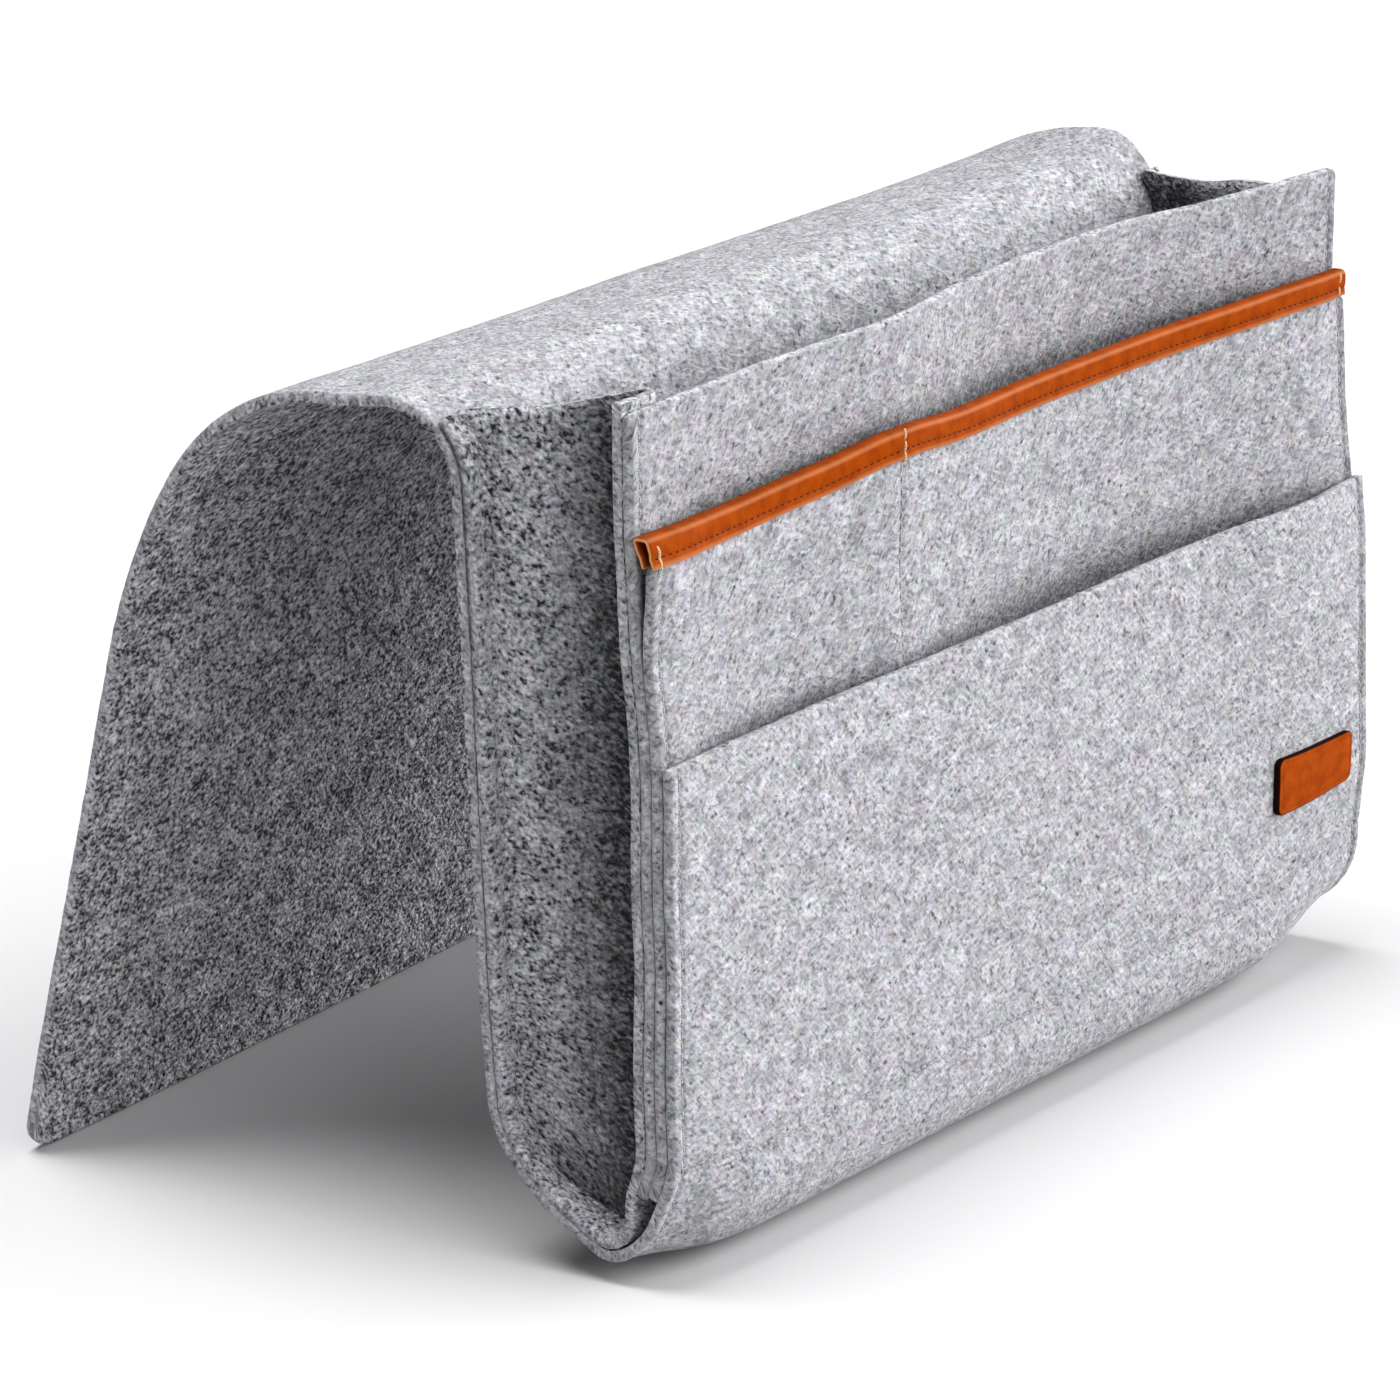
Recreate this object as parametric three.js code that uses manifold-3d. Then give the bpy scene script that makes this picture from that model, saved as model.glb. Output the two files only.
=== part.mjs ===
// Bedside caddy sewn from thick felt: one long sheet makes the outer pocket, the bottom, the back
// wall, the saddle and the flap that tucks under a mattress. Two more panels make the pockets.
//
// Millimetres. X runs along the caddy from its left end, Y runs from the pocket front towards
// the bed, and Z is up from the surface that the caddy stands on. The finished group is moved
// so that its origin is the middle of its footprint.

import * as THREE from 'three';
import { mergeVertices } from 'three/addons/utils/BufferGeometryUtils.js';
import Module from 'manifold-3d';

const wasm = await Module();
wasm.setup();

// Overall sizes
const caddyLength = 320;
const caddyDepth = 62;
const frontPanelHeight = 224;
const crownHeight = 222;

// How far the leather edge lies below the front panel's top, and the outer pocket below that
const bindingDrop = 29;
const outerPocketDrop = 58.5;

// Sheet stock, and the gap that sewn layers keep
const feltThickness = 3;
const leatherThickness = 1.2;
const seatGap = 0.3;

// Bends of the long sheet, outside radii
const frontBendRadius = 24;
const rearBendRadius = 28;
const shoulderRadius = 22;
const saddleRadius = 69;
const flapCurveRadius = 170;

// How far the sheet turns at each bend, and the flat run behind the shoulder
const crownFallDeg = 5;
const crownRun = 21;
const saddleTurnDeg = 50;
const flapCurveTurnDeg = 18;
const flapCornerRadius = 9;

// The flap folds about a line part way along the saddle's bend
const foldTurnShare = 0.7;

// Pocket panels: the seam along the bottom, the divider seam and the depth of each bay's bow
const bottomSeamHeight = 30;
const bowRise = 90;
const dividerPlace = 106;
const middleBow = { left: 2.5, right: 6 };
const innerBow = { left: 8, right: 12 };
const layerShiftRise = 30;
const innerLean = 1.6;
const panelCornerRadius = 2.5;

// Leather binding along the top edge of the middle panel
const bindingLeaf = 7;

// Gussets: how far the web sits in from the ends. The top edge slopes from just above the
// front panel to below the crown of the saddle
const gussetFrontDepth = 11;
const gussetRearDepth = 4.5;
const gussetFrontRise = 2.5;
const gussetRearDrop = 6.5;

// Leather patch on the outer pocket
const patchWidth = 36;
const patchHeight = 16;
const patchThickness = 2;
const patchCornerRadius = 2.2;
const patchEdgeRound = 0.4;
const patchFromRightEnd = 29;
const patchCentreHeight = 58;
const patchTiltDeg = -3.5;

// Overrun of every cut, and how finely bends and panels are divided
const cutOverrun = 12;
const bendStepDeg = 9;
const panelStep = 14;
const cornerSteps = 3;

// Points closer than these shares of the seat gap are one point, in an outline and in a mesh
const outlineMergeShare = 0.01;
const meshMergeShare = 0.0003;

// Values that follow from the sizes above
const halfFelt = feltThickness / 2;
const layerPitch = feltThickness + seatGap;
const backFaceY = caddyDepth - feltThickness;
const bindingHeight = frontPanelHeight - bindingDrop;
const outerPocketHeight = bindingHeight - outerPocketDrop;
const gussetFrontHeight = frontPanelHeight + gussetFrontRise;
const gussetRearHeight = crownHeight - gussetRearDrop;
const middleShift = leatherThickness + seatGap;
const middlePanelHeight = bindingHeight - middleShift;
const sideSeam = gussetFrontDepth + feltThickness + seatGap;

const colours = {
  felt: new THREE.MeshStandardMaterial({ color: 0x9b9da1, roughness: 0.97, metalness: 0 }),
  leather: new THREE.MeshStandardMaterial({ color: 0xc4561a, roughness: 0.5, metalness: 0 }),
  patch: new THREE.MeshStandardMaterial({ color: 0xb5541c, roughness: 0.65, metalness: 0 }),
};

// Small helpers

const radians = THREE.MathUtils.degToRad;
const lerp = THREE.MathUtils.lerp;
const smooth = THREE.MathUtils.smoothstep;

// Directions in the side view, where a Vector2 holds (Y, Z)
function heading(degrees) {
  return new THREE.Vector2(Math.cos(radians(degrees)), Math.sin(radians(degrees)));
}

function leftOf(direction) {
  return new THREE.Vector2(-direction.y, direction.x);
}

// Points of an arc in the side view, from one angle to another about a centre
function arcPoints(centre, radius, fromDeg, toDeg) {
  const steps = Math.max(1, Math.ceil(Math.abs(toDeg - fromDeg) / bendStepDeg));
  const points = [];
  for (let i = 0; i <= steps; i += 1) {
    const along = heading(lerp(fromDeg, toDeg, i / steps));
    points.push(centre.clone().addScaledVector(along, radius));
  }
  return points;
}

// Drops points that repeat the one before, and a last point that repeats the first
function withoutRepeats(points) {
  const closest = seatGap * outlineMergeShare;
  const kept = points.filter((p, i) => i === 0 || p.distanceTo(points[i - 1]) > closest);
  if (kept[0].distanceTo(kept[kept.length - 1]) < closest) kept.pop();
  return kept;
}

// A side view outline drawn out along X
function prismAlongX(points, x0, x1) {
  const shape = new THREE.Shape(withoutRepeats(points));
  const geometry = new THREE.ExtrudeGeometry(shape, { depth: x1 - x0, bevelEnabled: false });
  const basis = new THREE.Matrix4().makeBasis(
    new THREE.Vector3(0, 1, 0), new THREE.Vector3(0, 0, 1), new THREE.Vector3(1, 0, 0));
  geometry.applyMatrix4(basis);
  geometry.translate(x0, 0, 0);
  return geometry;
}

// A plan view outline in (X, Y) drawn out along Z
function prismAlongZ(points, z0, z1) {
  const shape = new THREE.Shape(withoutRepeats(points));
  const geometry = new THREE.ExtrudeGeometry(shape, { depth: z1 - z0, bevelEnabled: false });
  geometry.translate(0, 0, z0);
  return geometry;
}

// A front view shape in (X, Z) drawn out along Y
function prismAlongY(shape, y0, y1) {
  const geometry = new THREE.ExtrudeGeometry(shape, {
    depth: y1 - y0, bevelEnabled: false, curveSegments: cornerSteps * 2,
  });
  const basis = new THREE.Matrix4().makeBasis(
    new THREE.Vector3(1, 0, 0), new THREE.Vector3(0, 0, 1), new THREE.Vector3(0, -1, 0));
  geometry.applyMatrix4(basis);
  geometry.translate(0, y1, 0);
  return geometry;
}

function toSolid(geometry) {
  const bare = geometry.clone();
  bare.deleteAttribute('normal');
  bare.deleteAttribute('uv');
  const merged = mergeVertices(bare, seatGap * meshMergeShare);
  return new wasm.Manifold(new wasm.Mesh({
    numProp: 3,
    vertProperties: new Float32Array(merged.attributes.position.array),
    triVerts: new Uint32Array(merged.index.array),
  }));
}

function toGeometry(solid) {
  const mesh = solid.getMesh();
  const geometry = new THREE.BufferGeometry();
  geometry.setAttribute('position', new THREE.Float32BufferAttribute(mesh.vertProperties, 3));
  geometry.setIndex([...mesh.triVerts]);
  geometry.computeVertexNormals();
  return geometry;
}

// Skins a row of side view sections set at stations along X, and closes both ends. A section is
// two rails of matching points, the one nearer the front or outside first, and each end is
// closed by a ladder of quads between them.
function loftAlongX(stations, railsAt) {
  const sections = stations.map((x) => railsAt(x));
  const rungs = sections[0][0].length;
  const count = 2 * rungs;
  const positions = [];
  stations.forEach((x, i) => {
    const [rail, returnRail] = sections[i];
    [...rail, ...returnRail.slice().reverse()].forEach((p) => positions.push(x, p.x, p.y));
  });
  const faces = [];
  for (let i = 0; i < stations.length - 1; i += 1) {
    for (let j = 0; j < count; j += 1) {
      const a = i * count + j;
      const b = i * count + ((j + 1) % count);
      faces.push(a, a + count, b, b, a + count, b + count);
    }
  }
  const last = (stations.length - 1) * count;
  for (let j = 0; j < rungs - 1; j += 1) {
    const k = count - 1 - j;
    faces.push(j, j + 1, k, k, j + 1, k - 1);
    faces.push(last + j, last + k, last + j + 1, last + k, last + k - 1, last + j + 1);
  }
  const geometry = new THREE.BufferGeometry();
  geometry.setAttribute('position', new THREE.Float32BufferAttribute(positions, 3));
  geometry.setIndex(faces);
  geometry.computeVertexNormals();
  return geometry;
}

function turnedOver(faces) {
  const turned = [];
  for (let i = 0; i < faces.length; i += 3) turned.push(faces[i], faces[i + 2], faces[i + 1]);
  return turned;
}

// The same piece for the other end of the caddy
function mirroredToRightEnd(geometry) {
  const mirrored = geometry.clone();
  mirrored.applyMatrix4(new THREE.Matrix4().makeScale(-1, 1, 1));
  mirrored.translate(caddyLength, 0, 0);
  mirrored.setIndex(turnedOver([...mirrored.index.array]));
  mirrored.computeVertexNormals();
  return mirrored;
}

// Values from one place to another, no further apart than the step, with both ends
function spaced(from, to, step) {
  const count = Math.max(1, Math.round((to - from) / step));
  return Array.from({ length: count + 1 }, (_, i) => lerp(from, to, i / count));
}

function joinedStops(stops, step) {
  const places = [stops[0]];
  for (let i = 1; i < stops.length; i += 1) {
    places.push(...spaced(stops[i - 1], stops[i], step).slice(1));
  }
  return places;
}

// The long sheet in side view. It is walked from the mouth of the outer pocket, down, under,
// up the back and over the saddle. Each stop keeps its middle line point and its heading.

class SheetWalk {
  constructor(start, headingDeg) {
    this.stops = [{ point: start.clone(), headingDeg }];
  }

  get end() {
    return this.stops[this.stops.length - 1];
  }

  run(length) {
    const point = this.end.point.clone().addScaledVector(heading(this.end.headingDeg), length);
    this.stops.push({ point, headingDeg: this.end.headingDeg });
    return this;
  }

  // Turns by an angle, to the left where it is positive, about a middle line radius
  bend(radius, turnDeg) {
    const from = this.end;
    const side = Math.sign(turnDeg);
    const centre = from.point.clone().addScaledVector(leftOf(heading(from.headingDeg)), side * radius);
    const fromDeg = from.headingDeg - side * 90;
    const points = arcPoints(centre, radius, fromDeg, fromDeg + turnDeg);
    points.slice(1).forEach((point, i) => {
      const share = (i + 1) / (points.length - 1);
      this.stops.push({ point, headingDeg: from.headingDeg + turnDeg * share });
    });
    return this;
  }

  // The two faces of the sheet, half a thickness to the left and right of the middle line
  face(side) {
    return this.stops.map(({ point, headingDeg }) => (
      point.clone().addScaledVector(leftOf(heading(headingDeg)), side * halfFelt)));
  }
}

const foldTurnDeg = saddleTurnDeg * foldTurnShare;

function walkToFold() {
  return new SheetWalk(new THREE.Vector2(halfFelt, outerPocketHeight), -90)
    .run(outerPocketHeight - frontBendRadius)
    .bend(frontBendRadius - halfFelt, 90)
    .run(caddyDepth - frontBendRadius - rearBendRadius)
    .bend(rearBendRadius - halfFelt, 90)
    .run(crownHeight - shoulderRadius - rearBendRadius)
    .bend(shoulderRadius - halfFelt, -90 - crownFallDeg)
    .run(crownRun)
    .bend(saddleRadius - halfFelt, -foldTurnDeg);
}

// The fold line, which the flap turns about, lies in the middle of the sheet's thickness
const foldGap = halfFelt + seatGap;
const sheetToFold = walkToFold();
const fold = new SheetWalk(sheetToFold.end.point, sheetToFold.end.headingDeg).run(foldGap).end;

function makeMainSheet() {
  const outline = [...sheetToFold.face(1), ...sheetToFold.face(-1).reverse()];
  return prismAlongX(outline, 0, caddyLength);
}

// The flap starts with a round nose about the fold line, and is cut level at the floor
function walkFromFold() {
  return new SheetWalk(fold.point, fold.headingDeg)
    .bend(saddleRadius - halfFelt, foldTurnDeg - saddleTurnDeg)
    .bend(flapCurveRadius - halfFelt, -flapCurveTurnDeg);
}

function makeFlap() {
  const walk = walkFromFold();
  const toFloor = -walk.end.point.y / heading(walk.end.headingDeg).y;
  walk.run(toFloor + cutOverrun);
  const nose = arcPoints(fold.point, halfFelt, fold.headingDeg + 90, fold.headingDeg + 270);
  const outline = [...walk.face(-1).reverse(), ...nose.reverse(), ...walk.face(1)];
  const drape = prismAlongX(outline, 0, caddyLength);
  const front = new THREE.Shape();
  const corner = flapCornerRadius;
  front.moveTo(corner, 0);
  front.lineTo(caddyLength - corner, 0);
  front.absarc(caddyLength - corner, corner, corner, -Math.PI / 2, 0, false);
  front.lineTo(caddyLength, crownHeight);
  front.lineTo(0, crownHeight);
  front.lineTo(0, corner);
  front.absarc(corner, corner, corner, Math.PI, Math.PI * 1.5, false);
  const reach = walk.end.point.x + cutOverrun;
  return toGeometry(toSolid(drape).intersect(toSolid(prismAlongY(front, 0, reach))));
}

// Pocket panels. Each bay between two seams bows towards the bed, and the bow grows from the
// bottom seam. Y of a panel's front face, at a place along the caddy and a height:

function bowAt(bow, x, z) {
  const right = x > dividerPlace;
  const from = right ? dividerPlace : sideSeam;
  const to = right ? caddyLength - sideSeam : dividerPlace;
  const across = THREE.MathUtils.clamp((x - from) / (to - from), 0, 1);
  const rise = THREE.MathUtils.clamp((z - bottomSeamHeight) / bowRise, 0, 1);
  const depth = right ? bow.right : bow.left;
  return depth * Math.sin(Math.PI * across) * Math.sin(Math.PI * rise / 2);
}

// Above the outer pocket the middle panel comes forward, which makes room for the leather
function middleFaceY(x, z) {
  const shift = middleShift * smooth(z, outerPocketHeight, outerPocketHeight + layerShiftRise);
  return layerPitch - shift + bowAt(middleBow, x, z);
}

// Above the leather the inner panel and the gussets lean forward
function leanAt(z) {
  return innerLean * Math.max(0, (z - bindingHeight) / (frontPanelHeight - bindingHeight));
}

function innerFaceY(x, z) {
  return 2 * layerPitch - leanAt(z) + bowAt(innerBow, x, z);
}

function panelStations() {
  const corner = panelCornerRadius;
  const rounding = Array.from({ length: cornerSteps + 1 }, (_, i) => (
    corner * (1 - Math.cos(Math.PI * i / (2 * cornerSteps)))));
  const rightRounding = rounding.map((x) => caddyLength - x).reverse();
  const between = [corner, sideSeam, dividerPlace, caddyLength - sideSeam, caddyLength - corner];
  return [...rounding.slice(0, -1), ...joinedStops(between, panelStep), ...rightRounding.slice(1)];
}

// How far the rounded top corners bring the top edge down near an end
function cornerDrop(x) {
  const fromEnd = Math.min(x, caddyLength - x);
  const inside = Math.max(0, panelCornerRadius - fromEnd);
  return panelCornerRadius - Math.sqrt(Math.max(0, panelCornerRadius ** 2 - inside ** 2));
}

function makePanel(faceY, heights) {
  const top = heights[heights.length - 1];
  const base = heights[0];
  return loftAlongX(panelStations(), (x) => {
    const squash = (top - cornerDrop(x) - base) / (top - base);
    const levels = heights.map((z) => base + (z - base) * squash);
    const front = levels.map((z) => new THREE.Vector2(faceY(x, z), z));
    const rear = levels.map((z) => new THREE.Vector2(faceY(x, z) + feltThickness, z));
    return [front, rear];
  });
}

function makeMiddlePanel() {
  const shiftTop = outerPocketHeight + layerShiftRise;
  const bowTop = bottomSeamHeight + bowRise;
  const stops = [frontBendRadius, bottomSeamHeight, bowTop, outerPocketHeight, shiftTop,
    middlePanelHeight];
  return makePanel(middleFaceY, joinedStops(stops, panelStep));
}

function makeInnerPanel() {
  const bowTop = bottomSeamHeight + bowRise;
  const stops = [frontBendRadius, bottomSeamHeight, bowTop, bindingHeight, frontPanelHeight];
  return makePanel(innerFaceY, joinedStops(stops, panelStep));
}

// The leather is folded over the middle panel's top edge, so its section is an upside-down U:
// round outside, and square inside to clear the corners of the felt
function bindingRails(x) {
  const foldRadius = halfFelt + seatGap + leatherThickness;
  const reach = foldRadius - leatherThickness;
  const spring = bindingHeight - foldRadius;
  const foot = bindingHeight - bindingLeaf;
  const centre = new THREE.Vector2(middleFaceY(x, spring) + halfFelt, spring);
  const footY = middleFaceY(x, foot) + halfFelt;
  const outer = arcPoints(centre, foldRadius, 180, 0);
  const inner = outer.map((p) => {
    const out = p.clone().sub(centre).normalize();
    const squareReach = reach / Math.max(Math.abs(out.x), Math.abs(out.y));
    return centre.clone().addScaledVector(out, squareReach);
  });
  return [
    [new THREE.Vector2(footY - foldRadius, foot), ...outer,
      new THREE.Vector2(footY + foldRadius, foot)],
    [new THREE.Vector2(footY - reach, foot), ...inner,
      new THREE.Vector2(footY + reach, foot)],
  ];
}

function makeBinding() {
  const stops = [0, sideSeam, dividerPlace, caddyLength - sideSeam, caddyLength];
  return loftAlongX(joinedStops(stops, panelStep), bindingRails);
}

// A gusset is a dished end: a web set in from the end, with a flange turned out all along the
// back wall, the bottom and the front panels. Its outline follows the long sheet's inside.

function gussetOutline(inset, topOverrun) {
  const frontY = 2 * layerPitch + feltThickness + seatGap;
  const floorZ = feltThickness + seatGap;
  const cornerRadius = frontBendRadius - frontY;
  const frontCentre = new THREE.Vector2(frontBendRadius, floorZ + cornerRadius);
  const rearCentre = new THREE.Vector2(caddyDepth - rearBendRadius, rearBendRadius);
  const rearRadius = rearBendRadius - feltThickness - seatGap;
  const rearEdge = gussetRearEdge(inset);
  const rearTop = rearEdge[rearEdge.length - 1].clone();
  rearTop.y += topOverrun;
  const frontTop = gussetFrontHeight + topOverrun;
  return [
    new THREE.Vector2(frontY + inset - leanAt(frontTop), frontTop),
    new THREE.Vector2(frontY + inset, bindingHeight),
    ...arcPoints(frontCentre, cornerRadius - inset, 180, 270),
    ...arcPoints(rearCentre, rearRadius - inset, 270, 360),
    ...rearEdge,
    rearTop,
  ];
}

// Up the back wall, and round the start of the shoulder where the gusset reaches that high
function gussetRearEdge(inset) {
  const bend = shoulderRadius + seatGap;
  const shoulder = new THREE.Vector2(backFaceY + shoulderRadius, crownHeight - shoulderRadius);
  const rise = gussetRearHeight - shoulder.y;
  if (rise <= 0) return [new THREE.Vector2(backFaceY - seatGap - inset, gussetRearHeight)];
  const climbDeg = THREE.MathUtils.radToDeg(Math.asin(rise / bend));
  return arcPoints(shoulder, bend + inset, 180, 180 - climbDeg);
}

// Plan view of the web's outer face: deep behind the pocket panels, nearly flush at the back
function webDepth(y) {
  const share = THREE.MathUtils.clamp((backFaceY - y) / backFaceY, 0, 1);
  return lerp(gussetRearDepth, gussetFrontDepth, Math.sin(Math.PI * share / 2));
}

function webPlan(outside, thickness) {
  const rearmost = backFaceY + shoulderRadius;
  const curve = joinedStops([0, backFaceY, rearmost], feltThickness + seatGap).map((y) => (
    new THREE.Vector2(webDepth(y) + thickness, y)));
  return [new THREE.Vector2(outside, 0), ...curve, new THREE.Vector2(outside, rearmost)];
}

function makeGusset() {
  const above = Math.max(gussetFrontHeight, crownHeight) + 2 * cutOverrun;
  const span = gussetFrontDepth + 2 * feltThickness;
  const block = toSolid(prismAlongX(gussetOutline(0, 0), 0, span))
    .intersect(toSolid(prismAlongZ(webPlan(0, feltThickness), 0, above)));
  const hollow = toSolid(prismAlongX(gussetOutline(feltThickness, cutOverrun), -cutOverrun, span))
    .intersect(toSolid(prismAlongZ(webPlan(-cutOverrun, 0), 0, above)));
  return toGeometry(block.subtract(hollow));
}

// Small leather patch with rounded corners and softened edges
function makePatch() {
  const halfWidth = patchWidth / 2 - patchEdgeRound;
  const halfHeight = patchHeight / 2 - patchEdgeRound;
  const corner = patchCornerRadius - patchEdgeRound;
  const shape = new THREE.Shape();
  shape.moveTo(corner - halfWidth, -halfHeight);
  shape.lineTo(halfWidth - corner, -halfHeight);
  shape.absarc(halfWidth - corner, corner - halfHeight, corner, -Math.PI / 2, 0, false);
  shape.lineTo(halfWidth, halfHeight - corner);
  shape.absarc(halfWidth - corner, halfHeight - corner, corner, 0, Math.PI / 2, false);
  shape.lineTo(corner - halfWidth, halfHeight);
  shape.absarc(corner - halfWidth, halfHeight - corner, corner, Math.PI / 2, Math.PI, false);
  shape.lineTo(-halfWidth, corner - halfHeight);
  shape.absarc(corner - halfWidth, corner - halfHeight, corner, Math.PI, Math.PI * 1.5, false);
  const geometry = new THREE.ExtrudeGeometry(shape, {
    depth: patchThickness - 2 * patchEdgeRound,
    bevelEnabled: true,
    bevelThickness: patchEdgeRound,
    bevelSize: patchEdgeRound,
    bevelSegments: 2,
    curveSegments: cornerSteps * 2,
  });
  geometry.translate(0, 0, patchEdgeRound);
  return geometry;
}

// The caddy's pieces in their places

const caddy = new THREE.Group();

function addPiece(name, geometry, material) {
  const mesh = new THREE.Mesh(geometry, material);
  mesh.name = name;
  caddy.add(mesh);
  return mesh;
}

addPiece('main_sheet', makeMainSheet(), colours.felt);
addPiece('mattress_flap', makeFlap(), colours.felt);
addPiece('middle_pocket_panel', makeMiddlePanel(), colours.felt);
addPiece('inner_front_panel', makeInnerPanel(), colours.felt);
const gusset = makeGusset();
addPiece('left_gusset', gusset, colours.felt);
addPiece('right_gusset', mirroredToRightEnd(gusset), colours.felt);
addPiece('leather_binding', makeBinding(), colours.leather);
const patch = addPiece('leather_patch', makePatch(), colours.patch);
patch.rotation.set(Math.PI / 2, 0, 0);
patch.rotateZ(radians(patchTiltDeg));
patch.position.set(caddyLength - patchFromRightEnd, -seatGap, patchCentreHeight);

// Footprint: from the face of the patch to where the flap's outer face meets the floor
const flapStraight = walkFromFold().end;
const downFlap = heading(flapStraight.headingDeg);
const flapFoot = flapStraight.point.clone().addScaledVector(leftOf(downFlap), halfFelt);
flapFoot.addScaledVector(downFlap, -flapFoot.y / downFlap.y);
const footprintFront = -seatGap - patchThickness;
caddy.position.set(-caddyLength / 2, -(footprintFront + flapFoot.x) / 2, 0);

export default caddy;
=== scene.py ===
# %% [markdown]
# # A bedside caddy sewn from thick felt
#
# The real object is a bag of 3 mm pressed felt. One long sheet makes the outer pocket, the bottom,
# the back wall, the saddle and the flap that tucks under a mattress. Two more panels make the
# pockets, two dished gussets close the ends, and an orange leather strip binds one pocket's mouth.
#
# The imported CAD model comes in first, as a fixed frame. Every piece below is worked out in sheet
# millimetres: X from the left end, Y from the outer pocket's face towards the bed, Z up.

# %% The frame and the sizes
import math

import bpy
import numpy as np
from mathutils import Matrix, Vector, noise


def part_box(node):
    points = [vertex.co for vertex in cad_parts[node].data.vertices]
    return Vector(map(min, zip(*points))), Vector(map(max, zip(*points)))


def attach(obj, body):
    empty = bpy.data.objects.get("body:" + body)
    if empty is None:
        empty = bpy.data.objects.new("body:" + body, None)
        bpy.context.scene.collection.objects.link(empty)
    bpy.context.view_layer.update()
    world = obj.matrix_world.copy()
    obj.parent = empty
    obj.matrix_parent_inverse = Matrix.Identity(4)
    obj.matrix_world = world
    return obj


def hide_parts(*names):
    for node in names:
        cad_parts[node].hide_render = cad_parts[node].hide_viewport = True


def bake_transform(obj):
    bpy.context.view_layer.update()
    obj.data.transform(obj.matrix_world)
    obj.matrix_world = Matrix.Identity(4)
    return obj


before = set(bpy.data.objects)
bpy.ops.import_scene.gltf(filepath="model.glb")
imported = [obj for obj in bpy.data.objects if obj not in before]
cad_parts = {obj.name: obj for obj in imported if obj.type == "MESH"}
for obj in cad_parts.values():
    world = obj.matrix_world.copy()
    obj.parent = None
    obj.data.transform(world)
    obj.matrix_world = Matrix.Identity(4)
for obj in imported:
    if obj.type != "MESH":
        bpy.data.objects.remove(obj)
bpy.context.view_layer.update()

MM = 0.001
CORNER = np.array([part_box("main_sheet")[0][0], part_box("main_sheet")[0][1], 0.0])
LENGTH = (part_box("main_sheet")[1][0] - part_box("main_sheet")[0][0]) / MM
DEPTH, FELT, GAP = 62.0, 3.0, 0.3
HALF, PITCH = FELT / 2, FELT + GAP
OUTER_TOP, BINDING_TOP, PANEL_TOP, CROWN = 136.5, 195.0, 224.0, 222.0
FRONT_BEND, REAR_BEND, SHOULDER, SADDLE, FLAP_CURVE = 24.0, 28.0, 22.0, 69.0, 170.0
CROWN_FALL, CROWN_RUN, SADDLE_TURN, FLAP_TURN = 5.0, 21.0, 50.0, 18.0
DIVIDER, BOTTOM_SEAM, END_SEAM, SIDE_SEAM = 106.0, 30.0, 3.2, 14.3

# %% [markdown]
# ## Camera, floor and light
#
# The camera stands where the photographer stood. A long lens keeps the far end nearly as tall as
# the near one. The image was cropped off centre, so the camera has a small shift. Two wide soft
# lights from the front and one from above make the pocket front and the saddle bright, and leave
# the end and the inside of the flap in shade. A low one from the far end shines through the arch.
# Their strengths were matched to the photograph's brightness by least squares.

# %% Camera
def placed(name, data):
    """A new object in the scene, at the origin."""
    made = bpy.data.objects.new(name, data)
    bpy.context.collection.objects.link(made)
    return made


AZIMUTH, ELEVATION, ROLL = math.radians(-53.139), math.radians(15.565), math.radians(-2.436)
DISTANCE, FOCAL_PIXELS, IMAGE_SIDE = 1.799983, 7004.863, 1400
AIM = Vector((-0.058797, -0.050071, 0.137073))
IMAGE_CENTRE = (713.325, 636.745)

camera_data = bpy.data.cameras.new("camera")
camera_data.sensor_width = 36
camera_data.lens = FOCAL_PIXELS * camera_data.sensor_width / IMAGE_SIDE
camera_data.shift_x = (IMAGE_SIDE / 2 - IMAGE_CENTRE[0]) / IMAGE_SIDE
camera_data.shift_y = (IMAGE_CENTRE[1] - IMAGE_SIDE / 2) / IMAGE_SIDE
camera = placed("camera", camera_data)
turned = (Matrix.Rotation(AZIMUTH, 4, "Z") @ Matrix.Rotation(math.pi / 2 - ELEVATION, 4, "X")
          @ Matrix.Rotation(ROLL, 4, "Z"))
camera.matrix_world = Matrix.Translation(AIM) @ turned @ Matrix.Translation((0, 0, DISTANCE))
bpy.context.scene.camera = camera
bpy.context.scene.view_settings.view_transform = "Standard"
print("lens", round(camera_data.lens, 2), "mm, stands at", tuple(round(v, 3) for v in camera.location))


# %% Lights
def sky_light(name, place, width, strength, colour):
    """A far panel that looks this many degrees wide from the caddy, so the floor is lit evenly."""
    data = bpy.data.lights.new(name, "SUN")
    data.angle, data.energy, data.color = math.radians(width), strength, colour
    lamp = placed(name, data)
    lamp.location = place
    lamp.rotation_euler = (-Vector(place)).to_track_quat("-Z", "Y").to_euler()


sky_light("key", (1.0, -2.2, 1.1), 60, 2.45, (0.99, 0.985, 1.0))
sky_light("second", (-0.3, -2.2, 1.4), 60, 1.85, (1.0, 0.985, 1.0))
sky_light("top", (-0.12, 0.3, 2.0), 40, 4.0, (0.98, 0.985, 1.0))
sky_light("low_side", (1.6, -0.55, 0.22), 40, 3.8, (1.0, 0.98, 1.0))

world = bpy.data.worlds.new("studio")
world.use_nodes = True
world.node_tree.nodes["Background"].inputs["Color"].default_value = (1, 1, 1, 1)
world.node_tree.nodes["Background"].inputs["Strength"].default_value = 0.03
bpy.context.scene.world = world
print("lights:", [lamp.name for lamp in bpy.data.lights])


# %% [markdown]
# ## Shader maths as Python
#
# Materials are node trees, and long trees are hard to read as code. This class wraps a socket and
# lets Python's signs add the Math nodes, so that a pattern reads as a formula.

# %% A socket that can be added and multiplied
def plug(node, name, value):
    """Links a Value to a node's socket, or sets a plain number, colour or word on it."""
    if isinstance(value, Value):
        value.tree.links.new(value.socket, node.inputs[name])
    elif value is not None:
        node.inputs[name].default_value = value


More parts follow.
